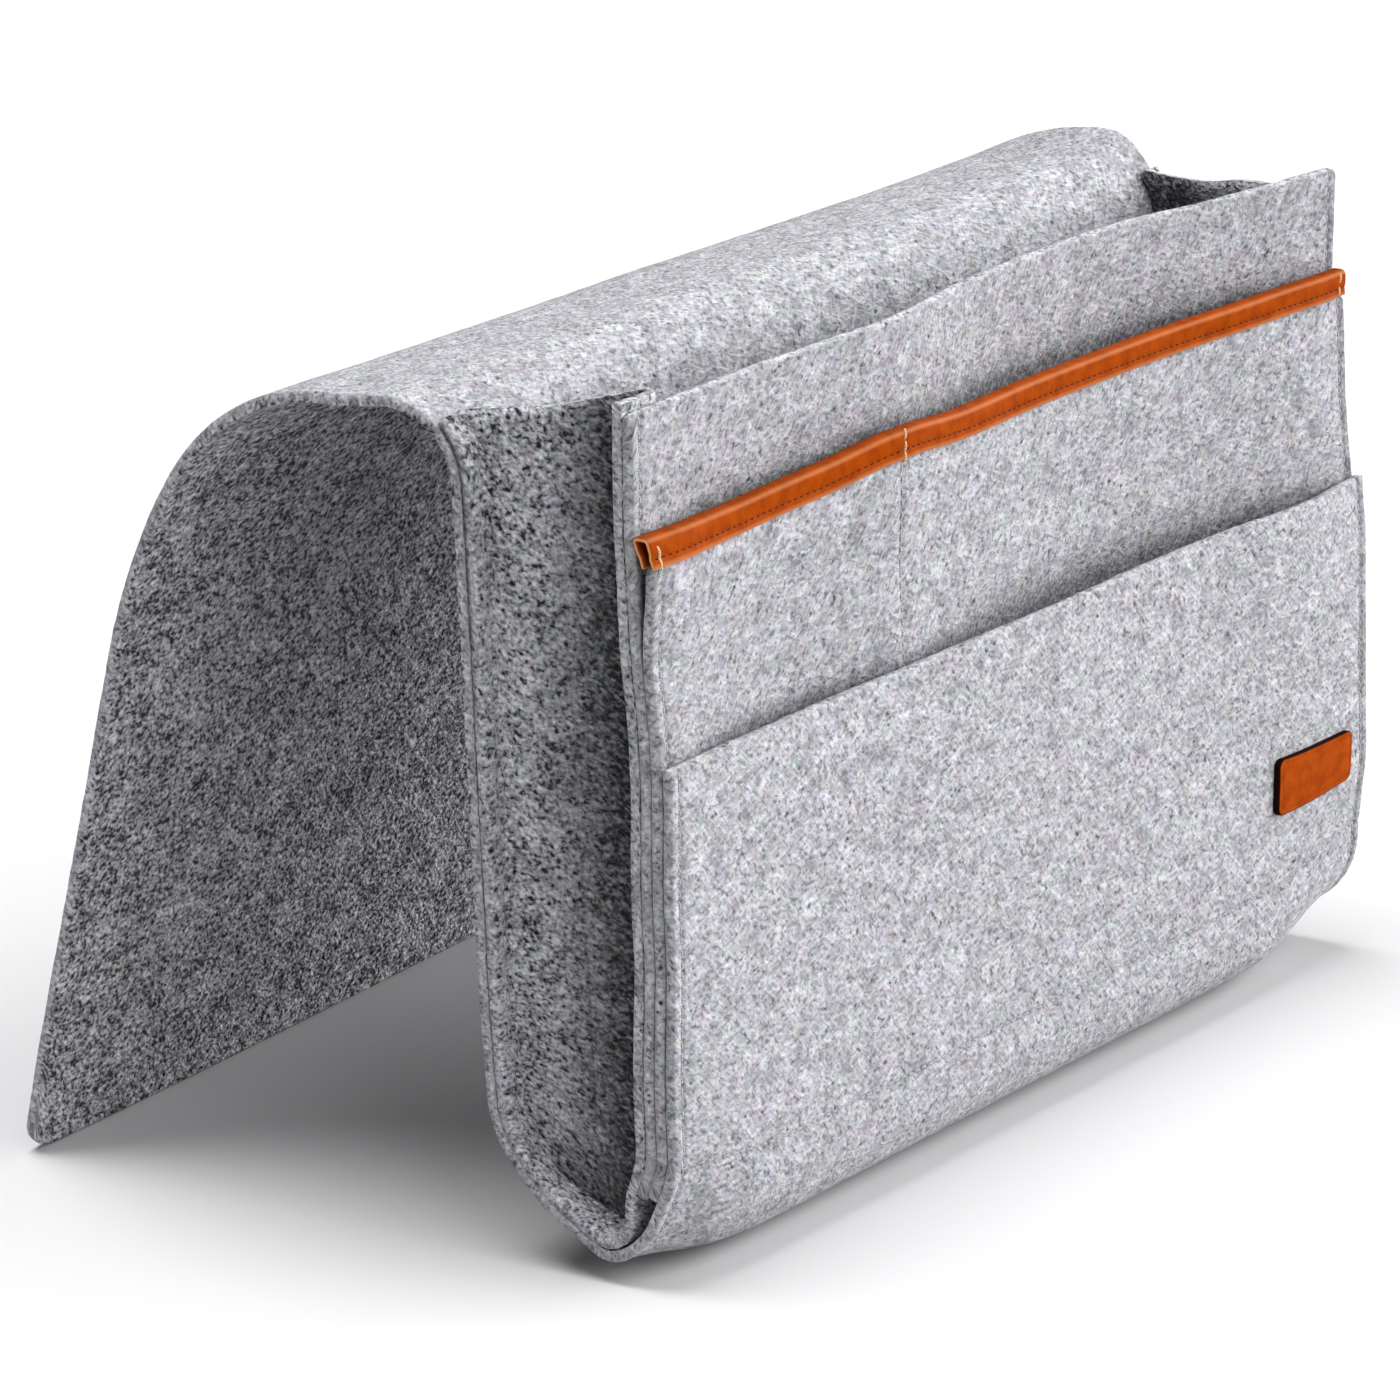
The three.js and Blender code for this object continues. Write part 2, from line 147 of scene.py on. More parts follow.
class Value:
    """A socket in a tree. Numbers and other sockets combine with it through Python's signs."""

    def __init__(self, tree, socket):
        self.tree, self.socket = tree, socket

    def join(self, kind, settings, *inputs):
        """Adds a node of any kind. Settings come first, then its sockets, by place or name."""
        node = self.tree.nodes.new(kind)
        for name, setting in settings.items():
            setattr(node, name, setting)
        for place, value in enumerate(inputs):
            named = isinstance(value, tuple) and isinstance(value[0], str)
            plug(node, *(value if named else (place, value)))
        return node

    def out(self, kind, settings, *inputs, output=0):
        return Value(self.tree, self.join(kind, settings, *inputs).outputs[output])

    def maths(self, operation, first, second):
        vector = any(isinstance(v, Value) and v.socket.type == "VECTOR" for v in (first, second))
        kind = "ShaderNodeVectorMath" if vector else "ShaderNodeMath"
        if vector:
            first, second = (tuple([v] * 3) if isinstance(v, (int, float)) else v for v in (first, second))
        return self.out(kind, {"operation": operation}, first, second)

    def __add__(self, other):
        return self.maths("ADD", self, other)

    def __radd__(self, other):
        return self.maths("ADD", other, self)

    def __sub__(self, other):
        return self.maths("SUBTRACT", self, other)

    def __rsub__(self, other):
        return self.maths("SUBTRACT", other, self)

    def __mul__(self, other):
        return self.maths("MULTIPLY", self, other)

    def __rmul__(self, other):
        return self.maths("MULTIPLY", other, self)

    def __truediv__(self, other):
        return self.maths("DIVIDE", self, other)

    def mark(self, name):
        """A number that the mesh carries at each point."""
        return self.out("ShaderNodeAttribute", {"attribute_name": name}, output=2)

    def ramp(self, low, high):
        """0 below low, 1 above high, and a smooth step between."""
        return self.out("ShaderNodeMapRange", {"interpolation_type": "SMOOTHSTEP"}, self, low, high, 0.0, 1.0)

    def mix(self, share, first, second, how="MIX"):
        """First colour where the share is 0, second where it is 1. The colours are sockets 6 and 7."""
        return self.out("ShaderNodeMix", {"data_type": "RGBA", "blend_type": how}, share, *[None] * 5,
                        first, second, output=2)

    def blend(self, first, second):
        """First colour where this value is 0, second where it is 1."""
        return self.mix(self, first, second)

    def bump(self, strength, depth):
        """This height as a bumped normal, with its depth in millimetres."""
        return self.out("ShaderNodeBump", {}, ("Strength", strength), ("Distance", depth * MM),
                        ("Height", self))

    def noise(self, scale, detail=2.0, roughness=0.5, output=0):
        return self.out("ShaderNodeTexNoise", {}, ("Vector", self), ("Scale", scale), ("Detail", detail),
                        ("Roughness", roughness), output=output)


def finish_of(name):
    """A new material, its surface shader, and its own cloth map in millimetres as a Value."""
    material = bpy.data.materials.new(name)
    material.use_nodes = True
    shader = material.node_tree.nodes["Principled BSDF"]
    flat = Value(material.node_tree, None).out("ShaderNodeUVMap", {"uv_map": "cloth"})
    return material, shader, flat * (1 / MM)


def feed(shader, sockets):
    for name, value in sockets.items():
        plug(shader, name, value)


# %% [markdown]
# ## Heather grey felt
#
# Pressed felt is a mat of short fibres. Light, grey and nearly black wool are mixed before the
# felt is pressed, which gives short strokes a millimetre or two long, in clumps. A plain noise
# would give round spots. Here a noise is stretched along one direction to give strokes, and
# several directions are laid over each other. The strokes follow each piece's own flat map, as
# the fibres of a real sheet do. Faces that lie in shade, the gussets and the flap's inner face,
# get a coarser bump and a painted stronger colour contrast that stands in for how felt looks in shade.

# %% Felt
TINT_SHARE = 0.16


def strokes(flat, angle, length, width, seed, detail=0.5):
    """Noise drawn out along one direction of the cloth, curving a little, about 0.5 on average."""
    wander = flat.noise(0.35, 1.0, output=1) * 0.7
    turned = flat.out("ShaderNodeMapping", {"vector_type": "TEXTURE"}, ("Vector", flat + wander),
                      ("Location", (seed, seed * 1.7, 0)), ("Rotation", (0, 0, math.radians(angle))),
                      ("Scale", (length, width, 1)))
    return turned.noise(1.0, detail, 0.5)


def felt_finish(name, white, black, mean):
    """Felt whose brightness varies about a mean share of the way from black to white wool."""
    material, shader, flat = finish_of(name)
    soft = strokes(flat, 20, 2.6, 1.6, 3) + strokes(flat, 110, 2.6, 1.6, 11) - 1
    pale_wool = sum(strokes(flat, angle, 3.2, 1.05, 37 + angle).ramp(0.48, 0.64) for angle in (5, 45, 160))
    dark_wool = sum(strokes(flat, angle, 1.8, 1.05, 91 + angle).ramp(0.56, 0.74) for angle in (20, 60, 155))
    nap = strokes(flat, 15, 1.55, 1.0, 201, 1.5) + strokes(flat, 100, 1.55, 1.0, 211, 1.5) - 1
    clumps, clouds = flat.noise(0.13, 3.0, 0.6) - 0.5, flat.noise(0.05, 2.0, 0.5) - 0.5
    grain_and_shade_contrast, rim, seam = flat.mark("grain_and_shade_contrast"), flat.mark("rim"), flat.mark("seam")
    # faces that lie in shade get a coarser bump and a painted stronger colour contrast
    coarseness_and_shade_contrast = 1 + grain_and_shade_contrast * 0.7
    wool = soft * 0.4 + (pale_wool - 0.9) * 0.23 - (dark_wool - 0.3) * (0.34 + clumps) + clumps * 1.2
    edge = rim.ramp(0.15, 0.5) * 0.07 + rim.ramp(0.7, 0.95) * 0.10
    # the seam mark darkens the felt along sewn lines, and also carries painted shade, and below zero painted
    # light
    shade = 1 - seam * (0.37 + strokes(flat, 40, 1.6, 0.9, 83, 1.5).ramp(0.36, 0.66) * 0.26)
    value = (1 + wool * coarseness_and_shade_contrast + (nap * 2.7 + clouds) * grain_and_shade_contrast + edge) * shade
    colour = (value * mean).blend(black, white)
    colour = colour.mix(TINT_SHARE, colour, flat.noise(0.22, 2.0, 0.5, output=1), "SOFT_LIGHT")
    height = soft * 0.6 + pale_wool * 0.25 - dark_wool * 0.25
    feed(shader, {"Base Color": colour, "Normal": (height * coarseness_and_shade_contrast).bump(0.8, 0.5), "Roughness": 0.95,
                  "Specular IOR Level": 0.15, "Sheen Weight": 0.12, "Sheen Roughness": 0.6})
    return material


felt = felt_finish("heather_felt", (0.852, 0.855, 0.90, 1), (0.006, 0.006, 0.008, 1), 0.306)
print("felt nodes:", len(felt.node_tree.nodes))


# %% [markdown]
# ## Leather and thread
#
# The strip is tan leather, matt in this light: fine creases, a paler raw edge, and a needle line
# in brown thread. The patch is the same hide with a drier face and a dark edge. A "rim" mark is 1
# on a piece's cut edges. A "seam" mark says where felt is sewn and where it carries painted shade,
# and on the strip where it is worn and where a highlight is painted along the fold.

# %% Leather
def leather_finish(name, face, shade, edge, roughness, edge_reach):
    material, shader, flat = finish_of(name)
    rim, wear_and_highlight = flat.mark("rim"), flat.mark("seam")
    mottle = flat.noise(0.22, 3.0, 0.55).ramp(0.35, 0.70)
    pores = flat.out("ShaderNodeTexVoronoi", {}, ("Vector", flat + flat.noise(0.8, 1.0, output=1) * 0.8),
                     ("Scale", 1.5))
    pits = 1 - pores.ramp(0.05, 0.42)
    colour = mottle.blend(face, shade)
    colour = (pits * 0.30).blend(colour, shade)
    # towards the edge colour where the leather is worn, and where a highlight is painted along the strip's
    # fold
    colour = wear_and_highlight.blend(rim.ramp(*edge_reach).blend(colour, edge), edge)
    height = flat.noise(1.4, 3.0, 0.6) * 0.5 - pits * 0.6
    feed(shader, {"Base Color": colour, "Roughness": roughness + mottle * 0.12 + pits * 0.10,
                  "Specular IOR Level": 0.01, "Specular Tint": (1.0, 0.4, 0.1, 1),
                  "Normal": height.bump(0.45, 0.12)})
    return material


strip_leather = leather_finish("tan_strip_leather", (0.245, 0.040, 0.001, 1), (0.185, 0.026, 0.0005, 1),
                               (0.58, 0.28, 0.13, 1), 0.45, (0.25, 0.9))
patch_leather = leather_finish("tan_patch_leather", (0.26, 0.044, 0.003, 1), (0.20, 0.030, 0.002, 1),
                               (0.012, 0.004, 0.003, 1), 0.62, (0.35, 0.75))
print("leather nodes:", len(strip_leather.node_tree.nodes), "and", len(patch_leather.node_tree.nodes))


# %% Thread
def thread_finish(name, colour, shade):
    material, shader, flat = finish_of(name)
    place = flat.out("ShaderNodeTexCoord", {}, output=3)
    twist = place.out("ShaderNodeTexWave", {"wave_type": "BANDS", "bands_direction": "DIAGONAL"},
                      ("Vector", place), ("Scale", 900.0), ("Distortion", 1.5), output=1)
    feed(shader, {"Base Color": twist.blend(shade, colour), "Roughness": 0.55 + twist * 0.15,
                  "Specular IOR Level": 0.1, "Normal": twist.bump(0.5, 0.05)})
    return material


grey_thread = thread_finish("grey_thread", (0.42, 0.42, 0.44, 1), (0.20, 0.20, 0.215, 1))
cream_thread = thread_finish("cream_thread", (0.56, 0.38, 0.22, 1), (0.36, 0.19, 0.09, 1))
brown_thread = thread_finish("brown_thread", (0.07, 0.010, 0.002, 1), (0.03, 0.004, 0.001, 1))
print("thread nodes:", len(brown_thread.node_tree.nodes))


# %% [markdown]
# ## How the felt has settled
#
# A sewn bag is never as even as its pattern. The saddle stands a little higher at the far end, the
# flap splays more there, and both bottom corners are drawn up. All of this is one smooth field
# that moves every piece, so layers that touch stay together and never cross.

# %% The settling field
def smooth(value, low, high):
    share = np.clip((value - low) / (high - low), 0, 1)
    return share * share * (3 - 2 * share)


def settle(points):
    """Moves points, in sheet millimetres, from the even pattern to the settled shape."""
    moved = np.array(points, float)
    x, y, z = moved[..., 0].copy(), moved[..., 1].copy(), moved[..., 2].copy()

    # the saddle climbs a little along the bag and curls up at its far end
    rise = -1.3 + 2.5 * x / 280 + 4.3 * np.clip((x - 278) / 42, 0, 1) ** 2
    moved[..., 2] += rise * smooth(y, 58, 76) * (1 - 0.85 * smooth(y, 90, 125)) * smooth(z, 150, 205)

    # the flap splays more towards the far end
    flare = -1.9 + 14.5 * smooth(x, -20, 300)
    moved[..., 1] += flare * smooth(y, 100, 150) * np.clip((205 - z) / 205, 0, 1) ** 1.3

    # both ends are drawn up at the bottom, most of all under the back wall
    low = 1 - smooth(z, 0, 95)
    near, far = 1 - smooth(x, 0, 48), smooth(x, 272, LENGTH)
    under_bag = 1 - smooth(y, 90, 110)
    drawn_up = near * (4.5 + 12 * smooth(y, 12, 56)) + far * (9 + 6 * smooth(y, 12, 56))
    moved[..., 2] += drawn_up * low * under_bag
    moved[..., 1] -= 2 * near * smooth(y, 40, 60) * (1 - smooth(z, 10, 80)) * under_bag
    moved[..., 1] += 3 * far * (1 - smooth(z, 0, 55)) * (1 - smooth(y, 30, 62))

    # the front layers stand forward at the far end, and lean back at the near one
    layers = 1 - smooth(y, 12, 40)
    moved[..., 1] -= 1.9 * smooth(x, 250, LENGTH) * smooth(z, 28, 60) * (1 - smooth(z, 118, 160)) * layers
    corner = (1 - smooth(x, 0, 26)) * layers
    moved[..., 1] += corner * (1.5 * smooth(-z, -90, -50) + 5 * smooth(-z, -34, -14))
    moved[..., 1] -= 1.5 * corner * smooth(z, 100, 134) * (1 - smooth(z, 140, 170))

    # the front layers' far edges are stretched out a little
    moved[..., 0] += 0.9 * smooth(x, 296, LENGTH) * layers

    # hand-sized waves of the felt
    lift = smooth(z, 2, 40)
    moved[..., 1] += 0.35 * lift * (np.sin(x / 23 + 1) * np.sin(z / 31 + 0.5) + 0.5 * np.sin(x / 11 + z / 17))
    return moved


FOOT_ENDS = np.array([(0.0, 220.0, 0.0), (LENGTH, 220.0, 0.0)])
print("the flap's foot moves out by", (settle(FOOT_ENDS) - FOOT_ENDS)[:, 1].round(1), "mm at its ends")


def into_frame(points):
    return np.asarray(points) * MM + CORNER


def as_piece(name, points, faces, maps, marks, material):
    """A smooth piece with a cloth map for each face corner and a number of each mark for each point."""
    mesh = bpy.data.meshes.new(name)
    mesh.from_pydata(into_frame(points).tolist(), [], faces)
    mesh.uv_layers.new(name="cloth").uv.foreach_set("vector", np.array(maps, np.float32).ravel())
    for mark, values in marks.items():
        mesh.attributes.new(mark, "FLOAT", "POINT").data.foreach_set("value", np.array(values, np.float32))
    mesh.materials.append(material)
    mesh.validate()
    mesh.shade_smooth()
    piece = placed(name, mesh)
    print(name, "has", len(mesh.polygons), "faces")
    return piece


# %% [markdown]
# ## From a middle surface to a body
#
# Every felt piece starts as a surface that runs through the middle of its thickness. Solidify
# could thicken it, but this function also rounds the cut edges, gives both faces the small lumps
# of felt, presses the felt in where a seam pulls it, and lays out the flat cloth map.

# %% Thick bodies
EDGE_ROUND = 0.22
BACK_MAP = (0.41, 0.23)  # the back face has another part of the felt's pattern


def lumpy(points, normals, amount):
    """Small lumps, the size of a thumb print, as heights along the normals."""
    heights = [noise.noise(Vector(p) * 0.31) * 0.6 + noise.noise(Vector(p) * 0.09) for p in points]
    return points + normals * (np.array(heights) * amount)[:, None]


def vertex_normals(points, faces):
    """Each face adds the cross product of its diagonals. A triangle's last two corners are one."""
    normals = np.zeros_like(points)
    for corners in faces:
        a, b, c, d = points[[*corners[:3], corners[-1]]]
        normals[corners] += np.cross(c - a, d - b)
    return normals / np.maximum(np.linalg.norm(normals, axis=1), 1e-9)[:, None]


def thick_body(name, middle, faces, flat, material, half=HALF, edge_round=EDGE_ROUND, front_press=0,
               back_press=0, lumps=0.12, bulge=0.15, ragged=0.0, seam=0, grain_and_shade_contrast=(0, 0)):
    """A closed body round a middle surface, its front on the side that the faces' order gives.

    Presses thin the felt from either face. seam marks where the front is sewn, and also carries
    painted shade and painted light; a pair gives the back face painted shade of its own. The last
    pair says how coarse each of the two faces is, and how much painted colour contrast it gets in shade.
    """
    count = len(middle)
    directed = dict.fromkeys(edge for corners in faces for edge in zip(corners, corners[1:] + corners[:1]))
    border = [edge for edge in directed if edge[::-1] not in directed]
    rim = sorted({v for edge in border for v in edge})
    on_rim = np.zeros(count, bool)
    on_rim[rim] = True

    normals = vertex_normals(middle, faces)
    outward = np.zeros_like(middle)
    for a, b in border:
        outward[[a, b]] += np.cross(middle[b] - middle[a], normals[a] + normals[b])
    outward[on_rim] /= np.linalg.norm(outward, axis=1)[on_rim][:, None]
    for v in rim:
        middle[v] += outward[v] * ragged * noise.noise(Vector(middle[v]) * 0.55)

    # on the flat map too, the cut edge needs a direction that leads away from the piece
    inner_flat, weight, out_flat = np.zeros_like(flat), np.zeros(count), np.zeros_like(flat)
    for corners in faces:
        if on_rim[corners].any():
            inner_flat[corners] += flat[corners].mean(axis=0)
            weight[corners] += 1
    out_flat[on_rim] = flat[on_rim] - inner_flat[on_rim] / weight[on_rim][:, None]
    out_flat[on_rim] /= np.maximum(np.linalg.norm(out_flat[on_rim], axis=1), 1e-9)[:, None]

    reach = np.full(count, half)
    reach[on_rim] = half - edge_round
    front = lumpy(middle + normals * (reach - front_press)[:, None], normals, lumps)
    back_side = lumpy(middle - normals * (reach - back_press)[:, None], -normals, lumps)
    waist = middle[rim] + outward[rim] * bulge
    seat = {v: 2 * count + i for i, v in enumerate(rim)}

    built, maps = [], []
    for corners in faces:
        built += [corners, [count + v for v in corners[::-1]]]
        maps += [*flat[corners], *(flat[corners[::-1]] + BACK_MAP)]
    for a, b in border:
        built += [(b, a, seat[a], seat[b]), (count + a, count + b, seat[b], seat[a])]
        for v, out in ((b, 0), (a, 0), (a, half), (b, half), (a, FELT), (b, FELT), (b, half), (a, half)):
            maps.append(flat[v] + out_flat[v] * out * MM)

    # a pair of seam marks gives the back face its own painted shade
    seam, back_painted_shade = seam if isinstance(seam, tuple) else (seam, 0)
    sizes = (count, count, len(rim))
    marks = {"rim": (on_rim * 0.6, on_rim * 0.6, 1), "seam": (seam, back_painted_shade, 0), "grain_and_shade_contrast": (*grain_and_shade_contrast, 0.5)}
    marks = {mark: np.concatenate([np.broadcast_to(v, size) for v, size in zip(values, sizes)])
             for mark, values in marks.items()}
    return as_piece(name, np.vstack([front, back_side, waist]), built, maps, marks, material)


def grid_faces(rows, columns, flipped=False):
    starts = [i * columns + j for i in range(rows - 1) for j in range(columns - 1)]
    faces = [[a, a + 1, a + columns + 1, a + columns] for a in starts]
    return [corners[::-1] for corners in faces] if flipped else faces


def cloth_map(xs, ys):
    """The flat place of each point of a grid, in metres."""
    return np.stack(np.broadcast_arrays(xs[None, :] * MM, ys[:, None] * MM), axis=-1).reshape(-1, 2)


def rounded_off(x, radius):
    """How far corners of this radius cut an edge back, along the caddy's length."""
    inside = np.maximum(0, radius - np.minimum(x, LENGTH - x))
    return radius - np.sqrt(radius ** 2 - inside ** 2)


def lines(length, step, seams=()):
    """Places of grid lines: close at the cut edges and at seams, and evenly spread between."""
    fine = [0, 0.45, 1.3]
    fine += [length - p for p in fine]
    for seam in seams:
        fine += [seam + d for d in (-1.5, -0.8, -0.35, 0, 0.35, 0.8, 1.5)]
    fine = sorted(p for p in fine if 0 <= p <= length)
    even = [p for p in np.linspace(0, length, max(2, round(length / step) + 1))
            if min(abs(p - f) for f in fine) > 0.55 * step]
    return np.array(sorted(fine + even))


def groove(distance, depth, width=0.65):
    return depth * np.exp(-(distance / width) ** 2)


def end_seams(x, depth):
    return groove(x - END_SEAM, depth) + groove(x - LENGTH + END_SEAM, depth)


def end_marks(x):
    """Where a face is sewn at its ends, darker along the seams. Beyond the far seam the felt has painted
    shade.
    """
    return end_seams(x, 0.7) + 0.45 * smooth(x, LENGTH - END_SEAM, LENGTH - END_SEAM + 0.6)


# %% [markdown]
# ## The long sheet
#
# On the real caddy this is one cut piece, about 687 mm long: down the outer pocket, under, up the
# back, over the saddle and down the flap. In side view it is a walk of straight runs and bends,
# and the walk keeps the length covered, which becomes the cloth map. CAD has it as two solids,
# because the flap moves. Here it is whole again, with a bend where the joint is.

# %% The side view walk
def heading(degrees):
    return np.array([math.cos(math.radians(degrees)), math.sin(math.radians(degrees))])


class SheetWalk:
    """Walks along the middle of the sheet and keeps (length so far, point, heading)."""

    def __init__(self, start, degrees):
        self.legs = []
        self.point, self.degrees, self.covered = np.array(start, float), degrees, 0.0

    def run(self, length, turn=0.0):
        self.legs.append((self.covered, length, self.point, self.degrees, turn))
        self.point = self.place(self.covered + length)[0]
        self.degrees += turn
        self.covered += length
        return self

    def bend(self, radius, turn):
        return self.run(radius * math.radians(abs(turn)), turn)

    def place(self, s):
        """Point and heading at a length along the sheet."""
        for start, length, point, degrees, turn in reversed(self.legs):
            if s >= start or start == 0:
                break
        if turn == 0:
            return point + heading(degrees) * (s - start), degrees
        radius = length / math.radians(abs(turn))
        left = 1 if turn > 0 else -1
        centre = point + heading(degrees + 90 * left) * radius
        turned = turn * (s - start) / length
        return centre + heading(degrees - 90 * left + turned) * radius, degrees + turned


walk = SheetWalk((HALF, OUTER_TOP), -90)
walk.run(OUTER_TOP - FRONT_BEND).bend(FRONT_BEND - HALF, 90).run(DEPTH - FRONT_BEND - REAR_BEND)
walk.bend(REAR_BEND - HALF, 90).run(CROWN - SHOULDER - REAR_BEND)
walk.bend(SHOULDER - HALF, -90 - CROWN_FALL).run(CROWN_RUN)
walk.bend(SADDLE - HALF, -SADDLE_TURN).bend(FLAP_CURVE - HALF, -FLAP_TURN)
flap_slope = walk.degrees
walk.run((walk.point[1] - HALF * abs(math.cos(math.radians(flap_slope)))) / -heading(flap_slope)[1])
SHEET_RUN = walk.covered
print("the long sheet is", round(SHEET_RUN, 1), "mm from the pocket's mouth to the flap's foot")

# %% The long sheet
FOOT_CORNER = 9.0
GUSSET_END = 400.0  # how far up the back wall the end seams run, along the sheet


def mouth_bulge(x):
    """How far the outer pocket's mouth stands forward of its seams."""
    across = np.sin(np.pi * np.clip(x / LENGTH, 0, 1))
    return 1.3 * across + 3.4 * np.exp(-((x - 284) / 26) ** 2) * (1 - smooth(x, 298, LENGTH))


def sheet_surface(x, s):
    """Middle of the long sheet at places along its width and length, before settling."""
    point, degrees = walk.place(s)
    forward = mouth_bulge(x) * smooth(np.array(OUTER_TOP - s), 62, OUTER_TOP) if s < OUTER_TOP else 0 * x
    return np.stack([x, point[0] - forward, np.full_like(x, point[1])], axis=-1)


xs = lines(LENGTH, 3.0, [END_SEAM, LENGTH - END_SEAM])
ss = lines(SHEET_RUN, 2.5, [OUTER_TOP - BOTTOM_SEAM])
foot_cut = rounded_off(xs, FOOT_CORNER)
rows = []
for s in ss:
    near_foot = np.clip((s - (SHEET_RUN - 40)) / 40, 0, 1)
    rows.append([sheet_surface(np.array([x]), s - cut * near_foot)[0] for x, cut in zip(xs, foot_cut)])
surface = settle(np.array(rows))
grid_x, grid_s = np.broadcast_arrays(xs[None, :], ss[:, None])
sewn = 1 - smooth(grid_s, GUSSET_END - 4, GUSSET_END)
from_bottom_seam = grid_s - (OUTER_TOP - BOTTOM_SEAM)
press = end_seams(grid_x, 0.5) * sewn + groove(from_bottom_seam, 0.4)
# darker along the sewn lines, with painted shade beyond the far end seam
seam = end_marks(grid_x) * (1 - smooth(grid_s, 110, 140)) + groove(from_bottom_seam, 0.8, 0.5)
long_sheet = thick_body("felt_long_sheet", surface.reshape(-1, 3), grid_faces(len(ss), len(xs), True),
                        cloth_map(xs, ss), felt, front_press=press.ravel(), ragged=0.22, seam=seam.ravel(),
                        grain_and_shade_contrast=(1.3 * smooth(grid_s, 150, 330).ravel(), 0))

# %% [markdown]
# ## Pocket panels
#
# Two flat panels stand in front of the bag. They are sewn at both ends, at the bottom and along a
# divider, and between the seams they bow towards the bed. A cloth simulation could give the same
# bow, but the seams fix it so well that two sine waves do.

# %% Pocket panels
MIDDLE_BOW, INNER_BOW, BOW_RISE, LEAN = (2.5, 6.0), (8.0, 12.0), 90.0, 1.6
LAYER_SHIFT, SHIFT_FROM, SHIFT_TO = 1.5, 158.0, 184.0
LEAF_SQUEEZE = 0.35
DRAWN_IN, DRAWN_BAND = 0.6, 11.0
PANEL_FOOT, PANEL_CORNER = 21.0, 2.5
LEAF = 6.6  # how far the leather strip reaches below its fold


def bow(depths, x, z):
    right = x > DIVIDER
    start, end = np.where(right, DIVIDER, SIDE_SEAM), np.where(right, LENGTH - SIDE_SEAM, DIVIDER)
    across = np.clip((x - start) / (end - start), 0, 1)
    rise = np.clip((z - BOTTOM_SEAM) / BOW_RISE, 0, 1)
    return np.where(right, depths[1], depths[0]) * np.sin(np.pi * across) * np.sin(np.pi * rise / 2)


def middle_face(x, z):
    """Front face of the middle panel, drawn in furthest just inside the outer pocket's mouth."""
    drawn = 1 + DRAWN_IN * np.exp(-((z - OUTER_TOP + 5) / DRAWN_BAND) ** 2)
    shift = LAYER_SHIFT * smooth(z, SHIFT_FROM, SHIFT_TO) * (1 - smooth(x, 262, 318))
    above = np.clip(z - BINDING_TOP + 3.5, -3.5, 3.5)
    above = above * np.exp(-(np.minimum(0, z - BINDING_TOP + 7) / 12) ** 2)
    return PITCH - shift + bow(MIDDLE_BOW, x, z) * drawn + 0.3 * above * np.exp(-(x / 25) ** 2)


def mouth_lift(x):
    """The middle panel's mouth is held up at the divider and sinks in the short bay."""
    ends = 0.6 * (1 - smooth(x, 0, 34)) + 0.4 * smooth(x, 285, LENGTH)
    return 2.4 * np.exp(-((x - DIVIDER) / 22) ** 2) - 1.1 * np.exp(-((x - 34) / 24) ** 2) - 0.5 - ends


def top_lift(x):
    """The inner panel's far corner has sunk a little."""
    return -1.2 * smooth(x, 230, 272)


def lean(z):
    return LEAN * np.maximum(0, (z - BINDING_TOP) / (PANEL_TOP - BINDING_TOP))


def inner_face(x, z):
    """Front face of the inner panel. Above the strip it is free of the divider and bows less."""
    free = smooth(z, 150, 205)
    eased = sum(bow(INNER_BOW, x + d, z) for d in (-18, -9, 0, 9, 18)) / 5
    eased = eased * (1 - 0.6 * (1 - smooth(x, 70, DIVIDER + 20)))
    drawn = 1.2 * np.exp(-((z - BINDING_TOP) / 7) ** 2) * smooth(x, 4, 30) * (1 - smooth(x, 290, 316))
    return 2 * PITCH - lean(z) + bow(INNER_BOW, x, z) * (1 - free) + eased * free + drawn


def panel(name, face, top, lift, offset, dim, shade, shade_from):
    """A panel with painted shade: a little darker all over, and a painted shadow just above the layer that
    stands in front of it.
    """
    xs = lines(LENGTH, 3.0, [END_SEAM, DIVIDER, LENGTH - END_SEAM])
    leaf_foot = BINDING_TOP - LEAF
    zs = PANEL_FOOT + lines(top - PANEL_FOOT, 3.0, [BOTTOM_SEAM - PANEL_FOOT, leaf_foot - PANEL_FOOT])
    x, z = np.broadcast_arrays(xs[None, :], zs[:, None])
    height = z - rounded_off(x, PANEL_CORNER) * smooth(z, top - 30, top)
    lifted = height + lift(x) * smooth(z, 140, 186)
    squeeze = LEAF_SQUEEZE * smooth(z, leaf_foot - 0.4, leaf_foot + 0.8) * (top < BINDING_TOP)
    inside_end = smooth(squeeze, 0, LEAF_SQUEEZE) * np.maximum(0, 2.2 - np.minimum(x, LENGTH - x) * 0.6)
    set_back = np.where(x < LENGTH / 2, inside_end, -inside_end)
    surface = settle(np.stack([x + set_back, face(x, height) + HALF, lifted], axis=-1))
    divider = groove(x - DIVIDER, 0.55, 0.8) * (1 - smooth(z, BINDING_TOP - 8, BINDING_TOP))
    # painted shadow on the panel just above the top edge of the layer in front
    shaded = 1 - smooth(lifted - shade_from(x), -1, 4.5)
    shaded = shaded * smooth(x, -6, 24) * (1 - smooth(x, 296, LENGTH + 4))
    # painted shade all over and in the band above, on top of the darker sewn lines
    seam = dim + end_marks(x) + divider * 0.3 + shade * shaded
    fuller = 0.1 * (1 - smooth(x, 0.5, 2.5))
    return thick_body(name, surface.reshape(-1, 3), grid_faces(len(zs), len(xs)), cloth_map(xs, zs) + offset,
                      felt, front_press=(end_seams(x, 0.4) + divider + squeeze - fuller).ravel(),
                      back_press=(divider + squeeze - fuller).ravel(), ragged=0.2, seam=seam.ravel())


